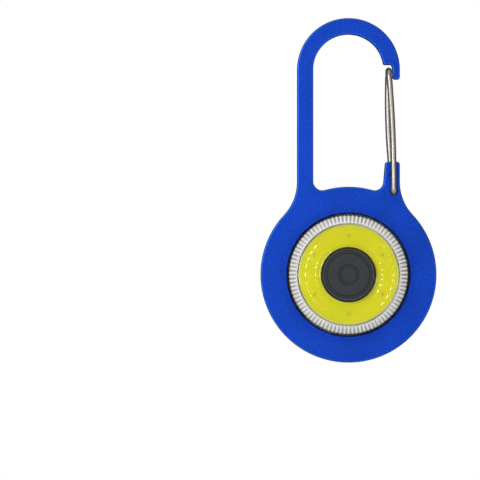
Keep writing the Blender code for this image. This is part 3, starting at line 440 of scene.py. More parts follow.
class Effects:
    """The effects that several finishes share, as node groups, each built once."""

    def __init__(self) -> None:
        """Builds the four groups."""
        self.grain = self._grain()
        self.wear = self._wear()
        self.handling = self._handling()
        self.streaks = self._streaks()

    @staticmethod
    def _group(name: str, inputs: dict[str, float], outputs: tuple[str, ...]) -> tuple:
        """Starts a node group with float sockets.

        Args:
            name: the group's name.
            inputs: each input's name and default.
            outputs: the outputs' names.

        Returns:
            The group, its sheet, its input node and its output node.
        """
        group = bpy.data.node_groups.new(name, "ShaderNodeTree")
        for socket, value in inputs.items():
            made = group.interface.new_socket(socket, in_out="INPUT", socket_type="NodeSocketFloat")
            made.default_value = value
        for socket in outputs:
            group.interface.new_socket(socket, in_out="OUTPUT", socket_type="NodeSocketFloat")
        sheet = Sheet(group)
        return group, sheet, sheet.add("NodeGroupInput"), sheet.add("NodeGroupOutput")

    def _grain(self) -> NodeTree:
        """Fine and coarse speckle together. Size is the coarse speckle in millimetres.

        Returns:
            The node group.
        """
        group, sheet, given, result = self._group("fine_grain", {"Size": 0.3}, ("Tone", "Relief"))
        place = sheet.place()
        coarse_scale = sheet.maths("DIVIDE", 1 / MM, given.outputs["Size"])
        coarse = sheet.noise(place, coarse_scale, 3.0, 0.6)
        fine = sheet.noise(place, sheet.maths("MULTIPLY", coarse_scale, 3.3), 2.0, 0.6)
        sheet.feed(result, "Tone", sheet.window(coarse, 0.3, 0.7))
        sheet.feed(result, "Relief", sheet.maths("ADD", sheet.maths("MULTIPLY", fine, 0.5), coarse))
        return group

    def _wear(self) -> NodeTree:
        """Where an edge is rubbed: the edge mask, broken up by two sizes of noise, past a threshold.

        Returns:
            The node group.
        """
        group, sheet, given, result = self._group("edge_wear", {"Edge": 0.0, "Amount": 0.3}, ("Worn",))
        place = sheet.place()
        patches = sheet.noise(place, 260.0, 4.0, 0.65)
        nicks = sheet.noise(place, 2100.0, 2.0, 0.6)
        rough = sheet.maths("ADD", patches, sheet.maths("MULTIPLY", nicks, 0.5))
        broken = sheet.maths("MULTIPLY", rough, given.outputs["Edge"])
        low = sheet.maths("SUBTRACT", 1.05, given.outputs["Amount"])
        past = sheet.maths("SUBTRACT", broken, low)
        sheet.feed(result, "Worn", sheet.maths("MULTIPLY", past, 4.0, clamp=True))
        return group

    def _handling(self) -> NodeTree:
        """Finger marks, hair scratches and specks of dust, each as a mask.

        Returns:
            The node group.
        """
        group, sheet, given, result = self._group("handling", {"Specks": 0.5}, ("Smear", "Scratch", "Speck"))
        place = sheet.place()
        sheet.feed(result, "Smear", sheet.window(sheet.noise(place, 120.0, 3.0, 0.55), 0.35, 0.7))
        along = {"Vector": place, "Rotation": (0.0, 0.7, 0.4), "Scale": (3200.0, 3200.0, 90.0)}
        hair = sheet.noise(sheet.add("Mapping", along).outputs[0], 1.0, 1.0, 0.4)
        sheet.feed(result, "Scratch", sheet.window(hair, 0.74, 0.78))
        cells = sheet.add("TexVoronoi", {"Vector": place, "Scale": 900.0}, feature="F1")
        rare = sheet.window(sheet.noise(place, 420.0, 1.0), 0.6, 0.64)
        dot = sheet.window(cells.outputs["Distance"], 0.1, 0.04)
        speck = sheet.maths("MULTIPLY", sheet.maths("MULTIPLY", dot, rare), given.outputs["Specks"])
        sheet.feed(result, "Speck", speck)
        return group

    def _streaks(self) -> NodeTree:
        """Lines drawn along a wire, from its own lay: turn round it and length along it.

        Returns:
            The node group.
        """
        group, sheet, given, result = self._group("drawn_streaks", {"Density": 6.0}, ("Streak", "Mark"))
        lay = sheet.add("Attribute", attribute_name="lay").outputs["Vector"]
        stretched = sheet.add("Mapping", {"Vector": lay, "Scale": (1.0, 1.0, 0.045)})
        sheet.feed(result, "Streak", sheet.noise(stretched.outputs[0], given.outputs["Density"], 3.0, 0.6))
        sheet.feed(result, "Mark", sheet.window(sheet.noise(lay, 2.6, 3.0, 0.7), 0.62, 0.72))
        return group


# --- Finishes ---------------------------------------------------------------------------------------
class Slot(Enum):
    """The material slots."""

    ANODISED_BLUE = "anodised_blue"
    SPRING_STEEL = "spring_steel"
    PLATED_STEEL = "plated_steel"
    CLEAR_PLASTIC = "clear_plastic"
    GASKET_RUBBER = "gasket_rubber"
    PHOSPHOR_GEL = "phosphor_gel"
    WHITE_SILICONE = "white_silicone"
    LED_BOARD_WHITE = "led_board_white"
    LED_DIE = "led_die"
    WHITE_PLASTIC = "white_plastic"
    LEAD_RED = "lead_red"
    LEAD_BLACK = "lead_black"
    BUTTON_GREY = "button_grey"
    SWITCH_BLACK = "switch_black"
    BOARD_GREEN = "board_green"
    COMPONENT_BLACK = "component_black"
    COMPONENT_TAN = "component_tan"
    CELL_STEEL = "cell_steel"
    CONTACT_BRASS = "contact_brass"
    FOAM_GREY = "foam_grey"
    COVER_BLACK = "cover_black"


def new_material(name: str) -> tuple[Material, Sheet, Node]:
    """A new material, with its node sheet and its Principled BSDF."""
    material = bpy.data.materials.new(name)
    material.use_nodes = True
    return material, Sheet(material.node_tree), material.node_tree.nodes["Principled BSDF"]


@dataclass(frozen=True)
class Finish:
    """A solid finish: one colour, mottled by its grain, smeared by handling and rubbed at its edges."""

    slot: Slot
    colour: Colour
    roughness: float
    metallic: float = 0.0
    grain_mm: float = 0.3
    mottle: float = 0.12
    relief_mm: float = 0.006
    smear: float = 0.08
    wear: float = 0.0
    worn_colour: Colour = (0.5, 0.5, 0.5)
    coat: float = 0.0
    specular: float = 0.5
    grazing: Colour = (1.0, 1.0, 1.0)

    def toned(self, share: float) -> Colour:
        """The finish's colour made lighter, or darker for a negative share."""
        return tuple(min(1.0, part * (1 + share)) for part in self.colour)

    def mottled(self, sheet: Sheet, tone: object) -> Socket:
        """The finish's colour, from darker to lighter by its mottle as the tone goes from 0 to 1."""
        return sheet.mix(tone, self.toned(-self.mottle), self.toned(self.mottle))

    def material(self, effects: Effects) -> Material:
        """Builds the material.

        Args:
            effects: the shared node groups.

        Returns:
            A material named after the slot.
        """
        material, sheet, shader = new_material(self.slot.value)
        shader.inputs["Metallic"].default_value = self.metallic
        shader.inputs["Coat Weight"].default_value = self.coat
        shader.inputs["Coat Roughness"].default_value = 0.12
        shader.inputs["Specular IOR Level"].default_value = self.specular
        shader.inputs["Specular Tint"].default_value = (*self.grazing, 1.0)
        colour, roughness, height = self.dress(sheet, effects)
        sheet.feed(shader, "Base Color", colour)
        sheet.feed(shader, "Roughness", roughness)
        if height:
            bump = sheet.add("Bump", {"Height": height, "Distance": self.relief_mm * MM, "Strength": 1.0})
            sheet.feed(shader, "Normal", bump.outputs[0])
        return material

    def dress(self, sheet: Sheet, effects: Effects) -> Dress:
        """Works out the finish over the surface.

        Args:
            sheet: the material's node sheet.
            effects: the shared node groups.

        Returns:
            The colour, the roughness, and the height of its relief, from 0 to 1, if it has one.
        """
        grain = sheet.use(effects.grain, Size=self.grain_mm)
        handling = sheet.use(effects.handling)
        colour = self.mottled(sheet, grain.outputs["Tone"])
        if self.wear:
            edge_weight = sheet.use(effects.wear, Edge=sheet.mask("edge"), Amount=self.wear).outputs["Worn"]
            colour = sheet.mix(edge_weight, colour, self.worn_colour)
        colour = sheet.mix(sheet.maths("MULTIPLY", handling.outputs["Speck"], 0.5), colour, DUST)
        return colour, self.rubbed(sheet, handling), grain.outputs["Relief"]

    def rubbed(self, sheet: Sheet, handling: Node) -> Socket:
        """The roughness, varied by finger marks and scratches.

        Args:
            sheet: the material's node sheet.
            handling: the handling effect placed on it.

        Returns:
            The roughness.
        """
        least = self.roughness - self.smear / 2
        smear = sheet.maths("MULTIPLY_ADD", handling.outputs["Smear"], self.smear, least)
        return sheet.maths("MULTIPLY_ADD", handling.outputs["Scratch"], 0.1, smear)


@dataclass(frozen=True)
class AnodisedFinish(Finish):
    """Bead-blasted aluminium, dyed: fine pits, a painted highlight line and wear along the rounded edges, and
    painted shade at the outer wall, round the bore and in the holes.
    """

    edge_highlight_colour: Colour = (0.04, 0.22, 1.0)
    shade_colour: Colour = (0.002, 0.006, 0.035)
    speck_colour: Colour = (0.3, 0.33, 0.4)
    cloud: float = 0.05

    def dress(self, sheet: Sheet, effects: Effects) -> Dress:
        """The colour, roughness and relief.

        Args:
            sheet: the material's node sheet.
            effects: the shared node groups.

        Returns:
            As for Finish.dress().
        """
        blast = sheet.use(effects.grain, Size=self.grain_mm)
        clouds = sheet.use(effects.grain, Size=self.grain_mm * 5)
        handling = sheet.use(effects.handling, Specks=0.4)
        speckled = self.mottled(sheet, blast.outputs["Tone"])
        deep = sheet.mix(clouds.outputs["Tone"], self.toned(-self.cloud), self.toned(self.cloud))
        colour = sheet.mix(0.25, speckled, deep)
        edge = sheet.mask("edge")
        # Painted highlight: a bright blue line along the rounded edges, where they would catch the side
        # lamps.
        colour = sheet.mix(sheet.maths("MULTIPLY", edge, 0.85), colour, self.edge_highlight_colour)
        edge_weight = sheet.use(effects.wear, Edge=edge, Amount=self.wear).outputs["Worn"]
        colour = sheet.mix(edge_weight, colour, self.worn_colour)
        specks = sheet.maths("MULTIPLY", handling.outputs["Speck"], 0.35)
        colour = sheet.mix(specks, colour, self.speck_colour)
        # Painted shade: a dark line along the outer wall, a collar fading out round the bore, and the insides
        # of the holes and the dimple.
        colour = sheet.mix(sheet.mask("shade"), colour, self.shade_colour)
        return colour, self.rubbed(sheet, handling), blast.outputs["Relief"]


@dataclass(frozen=True)
class DrawnFinish(Finish):
    """Nickel-plated wire: lines along its length, small dull marks, and tarnish at random."""

    def dress(self, sheet: Sheet, effects: Effects) -> Dress:
        """The colour, roughness and relief.

        Args:
            sheet: the material's node sheet.
            effects: the shared node groups.

        Returns:
            As for Finish.dress().
        """
        lines = sheet.use(effects.streaks, Density=5.0)
        handling = sheet.use(effects.handling, Specks=0.3)
        colour = self.mottled(sheet, lines.outputs["Streak"])
        colour = sheet.mix(sheet.maths("MULTIPLY", lines.outputs["Mark"], 0.4), colour, self.worn_colour)
        rough = sheet.maths("MULTIPLY_ADD", lines.outputs["Streak"], 0.16, self.roughness - 0.08)
        rough = sheet.maths("MULTIPLY_ADD", handling.outputs["Smear"], self.smear, rough)
        return colour, rough, lines.outputs["Streak"]


@dataclass(frozen=True)
class ScrewFinish(Finish):
    """Plated steel with painted shade in its recess, which is also rougher."""

    recess_shade_colour: Colour = (0.03, 0.025, 0.02)

    def dress(self, sheet: Sheet, effects: Effects) -> Dress:
        """The colour, roughness and relief.

        Args:
            sheet: the material's node sheet.
            effects: the shared node groups.

        Returns:
            As for Finish.dress().
        """
        grain = sheet.use(effects.grain, Size=self.grain_mm)
        colour = self.mottled(sheet, grain.outputs["Tone"])
        recess = sheet.mask("recess")
        # Painted shade darkens the cross recess.
        colour = sheet.mix(recess, colour, self.recess_shade_colour)
        rough = sheet.maths("MULTIPLY_ADD", grain.outputs["Tone"], 0.1, self.roughness - 0.05)
        return colour, sheet.maths("MULTIPLY_ADD", recess, 0.2, rough), grain.outputs["Relief"]


@dataclass(frozen=True)
class WindowFinish(Finish):
    """Clear moulded acrylic that lamp light passes through, with faint smears and hair scratches."""

    def material(self, effects: Effects) -> Material:
        """Builds the clear material; rays from lamps and from what lies behind pass straight through.

        Args:
            effects: the shared node groups.

        Returns:
            The material.
        """
        material, sheet, shader = new_material(self.slot.value + "_window")
        shader.inputs["Base Color"].default_value = (*self.colour, 1.0)
        shader.inputs["Transmission Weight"].default_value = 1.0
        shader.inputs["IOR"].default_value = 1.49
        handling = sheet.use(effects.handling)
        sheet.feed(shader, "Roughness", self.rubbed(sheet, handling))
        path = sheet.add("LightPath")
        through = sheet.maths("MAXIMUM", path.outputs["Is Shadow Ray"], path.outputs["Is Diffuse Ray"])
        clear = sheet.add("BsdfTransparent")
        both = sheet.add("MixShader", {0: through, 1: shader.outputs[0], 2: clear.outputs[0]})
        sheet.feed(material.node_tree.nodes["Material Output"], "Surface", both.outputs[0])
        return material


@dataclass(frozen=True)
class RibFinish(Finish):
    """The lens's ribbed edge: clear plastic, pale on the ribs' crowns, with painted shade greying the flanks
    and darkening the grooves and the gap round them.
    """

    groove_shade_colour: Colour = (0.014, 0.013, 0.014)
    flank_shade_colour: Colour = (0.5, 0.49, 0.46)

    def dress(self, sheet: Sheet, effects: Effects) -> Dress:
        """The colour, roughness and relief.

        Args:
            sheet: the material's node sheet.
            effects: the shared node groups.

        Returns:
            As for Finish.dress().
        """
        grain = sheet.use(effects.grain, Size=self.grain_mm)
        handling = sheet.use(effects.handling, Specks=0.2)
        uneven = sheet.noise(sheet.place(), 330.0, 2.0, 0.6)
        colour = self.mottled(sheet, grain.outputs["Tone"])
        # Painted shade: the ribs' flanks and a thin ring next to the window go greyer.
        flank = sheet.maths("MULTIPLY", sheet.mask("flank"), sheet.window(uneven, 0.25, 0.7, 0.35, 1.0))
        colour = sheet.mix(flank, colour, self.flank_shade_colour)
        # Painted shade: the trenches, the gap past the ribs and the walls below go near black, most in four
        # lobes that paint a reflection of darker surroundings.
        colour = sheet.mix(sheet.mask("groove"), colour, self.groove_shade_colour)
        return colour, self.rubbed(sheet, handling), None


@dataclass(frozen=True)
class GelFinish(Finish):
    """Yellow phosphor set in silicone: even colour, olive where a die lies under it, paler at its rim."""

    die_colour: Colour = (0.46, 0.43, 0.03)
    rim_colour: Colour = (0.78, 0.76, 0.22)

    def dress(self, sheet: Sheet, effects: Effects) -> Dress:
        """The colour, roughness and relief.

        Args:
            sheet: the material's node sheet.
            effects: the shared node groups.

        Returns:
            As for Finish.dress().
        """
        grain = sheet.use(effects.grain, Size=self.grain_mm)
        clouds = sheet.noise(sheet.place(), 190.0, 3.0, 0.55)
        colour = self.mottled(sheet, sheet.window(clouds, 0.3, 0.7))
        colour = sheet.mix(sheet.mask("rimward"), colour, self.rim_colour)
        colour = sheet.mix(sheet.mask("die"), colour, self.die_colour)
        rough = sheet.maths("MULTIPLY_ADD", grain.outputs["Tone"], 0.06, self.roughness - 0.03)
        return colour, rough, grain.outputs["Relief"]


FINISHES: dict[str, Finish] = {
    "plate": AnodisedFinish(
        Slot.ANODISED_BLUE, (0.0115, 0.068, 0.56), 0.42, metallic=0.75, grain_mm=0.36, mottle=0.34,
        relief_mm=0.009, wear=0.42, worn_colour=(0.12, 0.26, 0.72), specular=0.1, grazing=(0.1, 0.2, 0.5),
    ),
    "wire": DrawnFinish(
        Slot.SPRING_STEEL, (0.54, 0.51, 0.45), 0.38, metallic=1.0, mottle=0.14, relief_mm=0.002,
        worn_colour=(0.25, 0.23, 0.2), grazing=(0.3, 0.27, 0.22),
    ),
    "screw": ScrewFinish(
        Slot.PLATED_STEEL, (0.62, 0.58, 0.52), 0.26, metallic=1.0, grain_mm=0.2, relief_mm=0.004,
    ),
    "window": WindowFinish(Slot.CLEAR_PLASTIC, (0.99, 0.99, 0.98), 0.04, smear=0.05),
    "ribs": RibFinish(Slot.CLEAR_PLASTIC, (0.88, 0.87, 0.83), 0.25, grain_mm=0.5, mottle=0.07, coat=0.3),
    "gasket": Finish(Slot.GASKET_RUBBER, (0.012, 0.012, 0.012), 0.7, grain_mm=0.4, relief_mm=0.01),
    "gel": GelFinish(
        Slot.PHOSPHOR_GEL, (0.86, 0.83, 0.006), 0.09, grain_mm=0.5, mottle=0.035, relief_mm=0.001,
        specular=1.0,
    ),
    "silicone": Finish(Slot.WHITE_SILICONE, (0.62, 0.6, 0.57), 0.4, grain_mm=0.5, mottle=0.05),
    "led_board": Finish(Slot.LED_BOARD_WHITE, (0.8, 0.8, 0.77), 0.45, grain_mm=0.6, mottle=0.04),
    "die": Finish(Slot.LED_DIE, (0.5, 0.45, 0.1), 0.25, grain_mm=0.2),
    "carrier": Finish(Slot.WHITE_PLASTIC, (0.76, 0.76, 0.73), 0.5, grain_mm=0.4, mottle=0.04),
    "lead_red": Finish(Slot.LEAD_RED, (0.5, 0.02, 0.02), 0.42, grain_mm=0.3),
    "lead_black": Finish(Slot.LEAD_BLACK, (0.02, 0.02, 0.02), 0.45, grain_mm=0.3),
    # The button's wear colour, a paler olive on its lip and on the ring round the middle disc, is partly wear
    # and partly the raised lip's painted highlight.
    "button": Finish(
        Slot.BUTTON_GREY, (0.025, 0.028, 0.033), 0.5, grain_mm=0.16, mottle=0.1, relief_mm=0.006,
        wear=0.55, worn_colour=(0.07, 0.074, 0.055), specular=0.35,
    ),
    "switch": Finish(Slot.SWITCH_BLACK, (0.02, 0.02, 0.02), 0.5, grain_mm=0.2),
    "board": Finish(Slot.BOARD_GREEN, (0.02, 0.15, 0.05), 0.35, grain_mm=0.8, mottle=0.2, coat=0.4),
    "chip": Finish(Slot.COMPONENT_BLACK, (0.015, 0.015, 0.015), 0.55, grain_mm=0.15),
    "capacitor": Finish(Slot.COMPONENT_TAN, (0.45, 0.3, 0.15), 0.45, grain_mm=0.15),
    "cell": Finish(Slot.CELL_STEEL, (0.62, 0.61, 0.59), 0.28, metallic=1.0, grain_mm=0.5, relief_mm=0.003),
    "brass": Finish(
        Slot.CONTACT_BRASS, (0.72, 0.52, 0.22), 0.32, metallic=1.0, grain_mm=0.4, relief_mm=0.003,
    ),
    "foam": Finish(Slot.FOAM_GREY, (0.15, 0.15, 0.15), 0.9, grain_mm=0.35, mottle=0.3, relief_mm=0.08),
    "cover": Finish(
        Slot.COVER_BLACK, (0.003, 0.003, 0.0033), 0.42, grain_mm=0.2, mottle=0.2, relief_mm=0.008,
        wear=0.3, worn_colour=(0.016, 0.016, 0.017), specular=0.12,
    ),
}

CAD_FINISHES: dict[str, tuple[str, ...]] = {
    "gasket": ("lens_gasket",),
    "silicone": ("outer_dam",),
    "led_board": ("led_board",),
    "die": tuple(f"led_die_{number}" for number in range(1, 7)),
    "carrier": ("carrier_ring", "cell_holder"),
    "lead_red": ("lead_positive",),
    "lead_black": ("lead_negative",),
    "switch": ("switch_base", "switch_stem"),
    "screw": ("switch_plate",),
    "wire": ("switch_dome",),
    "board": ("main_board",),
    "chip": ("driver_chip", "led_resistor_1", "led_resistor_2"),
    "capacitor": ("filter_capacitor",),
    "cell": ("coin_cell_1", "coin_cell_2"),
    "brass": ("negative_contact", "positive_contact"),
    "foam": ("insulation_pad",),
}


class Workshop:
    """Keeps the materials, so that each is built once, and puts pieces on the frame."""

    def __init__(self) -> None:
        """Builds the shared effects."""
        self.effects = Effects()
        self.made: dict[str, Material] = {}

    def material(self, finish: str) -> Material:
        """The material of a finish, built the first time it is asked for."""
        if finish not in self.made:
            self.made[finish] = FINISHES[finish].material(self.effects)
        return self.made[finish]

    def fit(self, piece: Piece, finish: str, body: str | None, *nodes: str) -> None:
        """Dresses a new piece and fixes it to a body in place of CAD nodes.

        Args:
            piece: the object.
            finish: name of its finish.
            body: the body it moves with, or None to fix it to no body.
            *nodes: the CAD nodes that it stands for.
        """
        piece.data.materials.append(self.material(finish))
        if body:
            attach(piece, body)
        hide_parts(*nodes)

    def dress_nodes(self) -> None:
        """Gives every CAD node that still shows its finish."""
        for finish, nodes in CAD_FINISHES.items():
            for node in nodes:
                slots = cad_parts[node].data.materials
                slots.clear()
                slots.append(self.material(finish))
            LOG.info("%s: %s", finish, ", ".join(nodes))


# --- Hook frame -------------------------------------------------------------------------------------
@dataclass
class HookFrame:
    """The flat plate: a disc with a hook above it, bored for the lamp, the gate and the cover screws."""

    centre: np.ndarray
    body_radius: float = 22.25
    hook_half_width: float = 13.0
    limb_width: float = 4.1
    front_z: float = 2.5
    back_z: float = -2.5
    shoulder_fillet: float = 12.2
    throat_fillet: float = 2.3
    post_rise: float = 6.35
    post_width: float = 3.7
    post_corner: float = 0.8
    shelf_rise: float = 1.2
    finger_length: float = 3.7
    finger_root: float = 2.05
    finger_tip: float = 1.75
    finger_corner: float = 0.55
    root_fillet: float = 0.5
    nose_corner: float = 0.45
    edge_round: float = 0.36
    bore_radius: float = 15.45
    pocket_radius: float = 16.8
    ledge_z: float = 1.1
    bore_steps: int = 240
    collar_radius: float = 19.6
    collar_fade: float = 1.1
    screw_hole: float = 1.2
    screw_round: float = 0.1
    screw_depth_z: float = 1.0
    flat_margin: float = 0.04
    hole_round: float = 0.02
    hole_steps: int = 40
    pivot_hole: float = 0.97
    pivot_neck: float = 0.78
    neck_front_z: float = 1.7
    neck_back_z: float = -2.0
    upper_pivot: tuple = (11.15, 3.0)
    upper_floor_z: float = 2.25
    lower_pivot: tuple = (11.41, -1.3)
    dimple: tuple = (11.05, 3.15)
    dimple_radius: float = 0.7
    dimple_floor_z: float = 2.35
    dimple_steps: int = 32
    screws: list = field(default_factory=list)

    def fillet_centre(self, edge_x: float, fillet: float) -> tuple[float, float]:
        """Centre of a fillet that touches the line x = edge_x from outside and the disc's rim."""
        x = edge_x + fillet
        return x, self.centre[1] + math.sqrt((self.body_radius + fillet) ** 2 - x**2)

    def rim(self, start: float, end: float) -> np.ndarray:
        """Points on the disc's rim between two angles, two degrees apart."""
        steps = max(2, round(abs(end - start) / 2))
        return arc((self.centre[0], self.centre[1]), self.body_radius, start, end, steps)

    def nose(self) -> np.ndarray:
        """The hook's nose: the shelf that stops the gate and the finger outside it, with its root eased.

        Returns:
            Its outline, from the inner arc to the finger's outer tip.
        """
        inner = self.hook_half_width - self.limb_width
        arc_y = -inner
        shelf_y = arc_y + self.shelf_rise
        tip_y = shelf_y - self.finger_length
        lean = math.asin(self.shelf_rise / inner)
        corner = (inner * math.cos(lean), shelf_y)
        along_arc = (corner[0] - math.sin(lean), corner[1] + math.cos(lean))
        root = (self.hook_half_width - self.finger_root, shelf_y)
        inner_tip = (self.hook_half_width - self.finger_tip, tip_y)
        outer_tip = (self.hook_half_width, tip_y)
        return np.vstack([
            rounded_corner(along_arc, corner, root, self.nose_corner),
            rounded_corner(corner, root, inner_tip, self.root_fillet),
            rounded_corner(root, inner_tip, outer_tip, self.finger_corner),
            rounded_corner(inner_tip, outer_tip, (self.hook_half_width, shelf_y), self.finger_corner),
        ])

    def post(self) -> np.ndarray:
        """The stub that carries the gate, up its outer side, over its top and down its inner side.

        Returns:
            Its outline, as rows of (x, y).
        """
        outer = self.hook_half_width
        inner = outer - self.limb_width
        foot_y = self.centre[1] + self.body_radius
        top_y = foot_y + self.post_rise
        throat_y = self.fillet_centre(inner - 2 * self.throat_fillet, self.throat_fillet)[1]
        outer_top = (outer, top_y)
        inner_top = (outer - self.post_width, top_y)
        return np.vstack([
            rounded_corner((outer, foot_y), outer_top, inner_top, self.post_corner, 8),
            rounded_corner(outer_top, inner_top, (inner, throat_y), self.post_corner, 8),
        ])

    def outline(self) -> np.ndarray:
        """The plate's outline, anticlockwise from the left shoulder.

        Returns:
            Rows of (x, y).
        """
        inner = self.hook_half_width - self.limb_width
        shoulder = self.fillet_centre(self.hook_half_width, self.shoulder_fillet)
        lean = math.degrees(math.atan2(shoulder[1] - self.centre[1], shoulder[0]))
        throat = self.fillet_centre(inner - 2 * self.throat_fillet, self.throat_fillet)
        throat_lean = math.degrees(math.atan2(throat[1] - self.centre[1], throat[0]))
        nose_lean = math.degrees(math.asin(self.shelf_rise / inner) + self.nose_corner * 1.3 / inner)
        crown = (0.0, -inner)
        parts = [
            self.rim(180 - lean, 360 + lean),
            arc(shoulder, self.shoulder_fillet, 180 + lean, 180, 24),
            self.post(),
            arc(throat, self.throat_fillet, 0, throat_lean - 180, 20),
            self.rim(throat_lean, 180 - throat_lean),
            arc((-throat[0], throat[1]), self.throat_fillet, -throat_lean, -180, 20),
            arc(crown, inner, 180, nose_lean, 90),
            self.nose(),
            arc(crown, self.hook_half_width, 0, 180, 110),
            arc((-shoulder[0], shoulder[1]), self.shoulder_fillet, 0, -lean, 24),
        ]
        return without_repeats(np.vstack(parts))

    def edge(self) -> tuple[np.ndarray, np.ndarray, dict[str, np.ndarray]]:
        """The plate's edge profile: a quarter circle at each face, with a flat margin inside it.

        Returns:
            Depth in from the outline, height z, and per point the masks "edge", for the painted highlight
            line and the wear, and "shade", for a painted dark line along the outer wall.
        """
        degrees = np.linspace(0.0, 90.0, 10)
        angles = np.radians(degrees)
        margin = self.edge_round + self.flat_margin
        depth = np.concatenate([[0.0], self.edge_round * (1 - np.cos(angles)), [margin]])
        rise = np.concatenate([[self.edge_round + 0.12], self.edge_round * (1 - np.sin(angles)), [0.0]])
        # The mask "edge" peaks where the painted highlight line runs on the rounding; the wear uses it too.
        edge_weight = np.concatenate([[0.0], np.exp(-(((degrees - 66) / 14) ** 2)), [0.0]])
        # The mask "shade" paints a dark line of shade next to the outer wall.
        shade = np.concatenate([[0.0], 0.85 * smooth(-degrees, -62, -38), [0.0]])
        depths = np.concatenate([depth[::-1], depth])
        heights = np.concatenate([self.back_z + rise[::-1], self.front_z - rise])
        masks = {"edge": np.concatenate([edge_weight[::-1], edge_weight]), "shade": np.concatenate([shade[::-1], shade])}
        return depths, heights, masks

    @staticmethod
    def hole(
        shell: Shell, middle: np.ndarray, corners: list, steps: int, edge_weight: float = 1.0, shade: float = 0.7
    ) -> None:
        """Adds a turned hole's wall, with painted shade below its mouth and the painted highlight and wear of
        the mask "edge" on the mouth.

        Args:
            shell: the shell to add it to.
            middle: the hole's axis, as (x, y).
            corners: its profile, as softened() takes it.
            steps: number of points round it.
            edge_weight: the mask "edge" on its rounded mouth.
            shade: the mask "shade" below its mouth.
        """
        profile = softened(corners, 4)
        step = np.linalg.norm(np.gradient(profile, axis=0), axis=1)
        edge = np.where(step < 0.11, edge_weight, 0.0)[:, None]
        dark = np.full((len(profile), 1), shade)
        edge[[0, -1]] = 0.0
        dark[[0, -1]] = 0.0
        shell.grid(turned(profile, middle, steps), edge=edge, shade=dark)

    def bore(self, shell: Shell) -> None:
        """Adds the lamp's bore and pocket, and round its mouth a collar whose shade fades outwards.

        The shade at a distance d from the mouth is 0.3 e^-(d / fade).

        Args:
            shell: the shell to add them to.
        """
        margin = self.edge_round + self.flat_margin
        mouth, pocket = self.bore_radius + margin, self.pocket_radius + margin
        corners = [
            (mouth, self.front_z, 0), (self.bore_radius, self.front_z, 0.22),
            (self.bore_radius, self.ledge_z, 0), (self.pocket_radius, self.ledge_z, 0),
            (self.pocket_radius, self.back_z, 0.15), (pocket, self.back_z, 0),
        ]
        self.hole(shell, self.centre, corners, self.bore_steps, edge_weight=0.0, shade=0.9)
        reach = np.linspace(mouth, self.collar_radius, 8)
        fade = 0.3 * np.exp(-(reach - mouth) / self.collar_fade)
        fade[-1] = 0.0
        profile = np.column_stack([reach, np.full(8, self.front_z)])
        shell.grid(turned(profile, self.centre, self.bore_steps), shade=fade[:, None])

    def cross_holes(self, shell: Shell, front: list, back: list) -> None:
        """Adds the gate's two cross holes and the dimple, and their mouths to each face's loops.

        Args:
            shell: the shell to add them to.
            front: the front face's loops.
            back: the back face's loops.
        """
        foot = np.array([0.0, self.centre[1] + self.body_radius])
        places = (self.upper_pivot, self.lower_pivot, self.dimple)
        upper, lower, dimple = (foot + np.array(place) for place in places)
        mouth = self.pivot_hole + 2 * self.hole_round
        dimple_mouth = self.dimple_radius + 2 * self.hole_round
        blind = [
            (mouth, self.back_z, 0), (self.pivot_hole, self.back_z, self.hole_round),
            (self.pivot_hole, self.upper_floor_z, 0.1), (0.0, self.upper_floor_z, 0),
        ]
        self.hole(shell, upper, blind, self.hole_steps)
        necked = [
            (mouth, self.front_z, 0), (self.pivot_hole, self.front_z, self.hole_round),
            (self.pivot_hole, self.neck_front_z, 0.05), (self.pivot_neck, self.neck_front_z, 0.05),
            (self.pivot_neck, self.neck_back_z, 0.05), (self.pivot_hole, self.neck_back_z, 0.05),
            (self.pivot_hole, self.back_z, self.hole_round), (mouth, self.back_z, 0),
        ]
        self.hole(shell, lower, necked, self.hole_steps)
        shallow = [
            (dimple_mouth, self.front_z, 0), (self.dimple_radius, self.front_z, self.hole_round),
            (self.dimple_radius, self.dimple_floor_z, 0.04), (0.0, self.dimple_floor_z, 0),
        ]
        # Painted shade fills the dimple, so that it shows as a dark spot.
        self.hole(shell, dimple, shallow, self.dimple_steps, shade=1.0)
        front.extend([circle(lower, mouth, self.hole_steps), circle(dimple, dimple_mouth, self.dimple_steps)])
        back.extend([circle(upper, mouth, self.hole_steps), circle(lower, mouth, self.hole_steps)])

    def build(self) -> Piece:
        """Builds the plate: its edge, its two faces, the lamp's bore and pocket, and the small holes.

        Returns:
            The plate, as one closed mesh.
        """
        shell = Shell()
        outline = self.outline()
        depths, heights, masks = self.edge()
        rings = np.stack([inset(outline, depth) for depth in depths])
        levels = np.broadcast_to(heights[:, None, None], (*rings.shape[:2], 1))
        around = {name: mask[:, None] for name, mask in masks.items()}
        shell.grid(np.concatenate([rings, levels], axis=2), **around)
        self.bore(shell)
        margin = self.edge_round + self.flat_margin
        front = [rings[-1], circle(self.centre, self.collar_radius, self.bore_steps)]
        back = [rings[0], circle(self.centre, self.pocket_radius + margin, self.bore_steps)]
        self.cross_holes(shell, front, back)
        for middle in self.screws:
            mouth = self.screw_hole + 2 * self.screw_round
            corners = [
                (mouth, self.back_z, 0), (self.screw_hole, self.back_z, self.screw_round),
                (self.screw_hole, self.screw_depth_z, 0), (0.0, self.screw_depth_z, 0),
            ]
            self.hole(shell, middle, corners, 32, edge_weight=0.0, shade=0.0)
            back.append(circle(middle, mouth, 32))
        shell.flat(front, self.front_z)
        shell.flat(back, self.back_z)
        return shell.make("hook_plate", 40.0)

    def assemble(self, shop: Workshop) -> None:
        """Builds the plate, anodises it and fixes it."""
        shop.fit(self.build(), "plate", "light", "carabiner_frame")


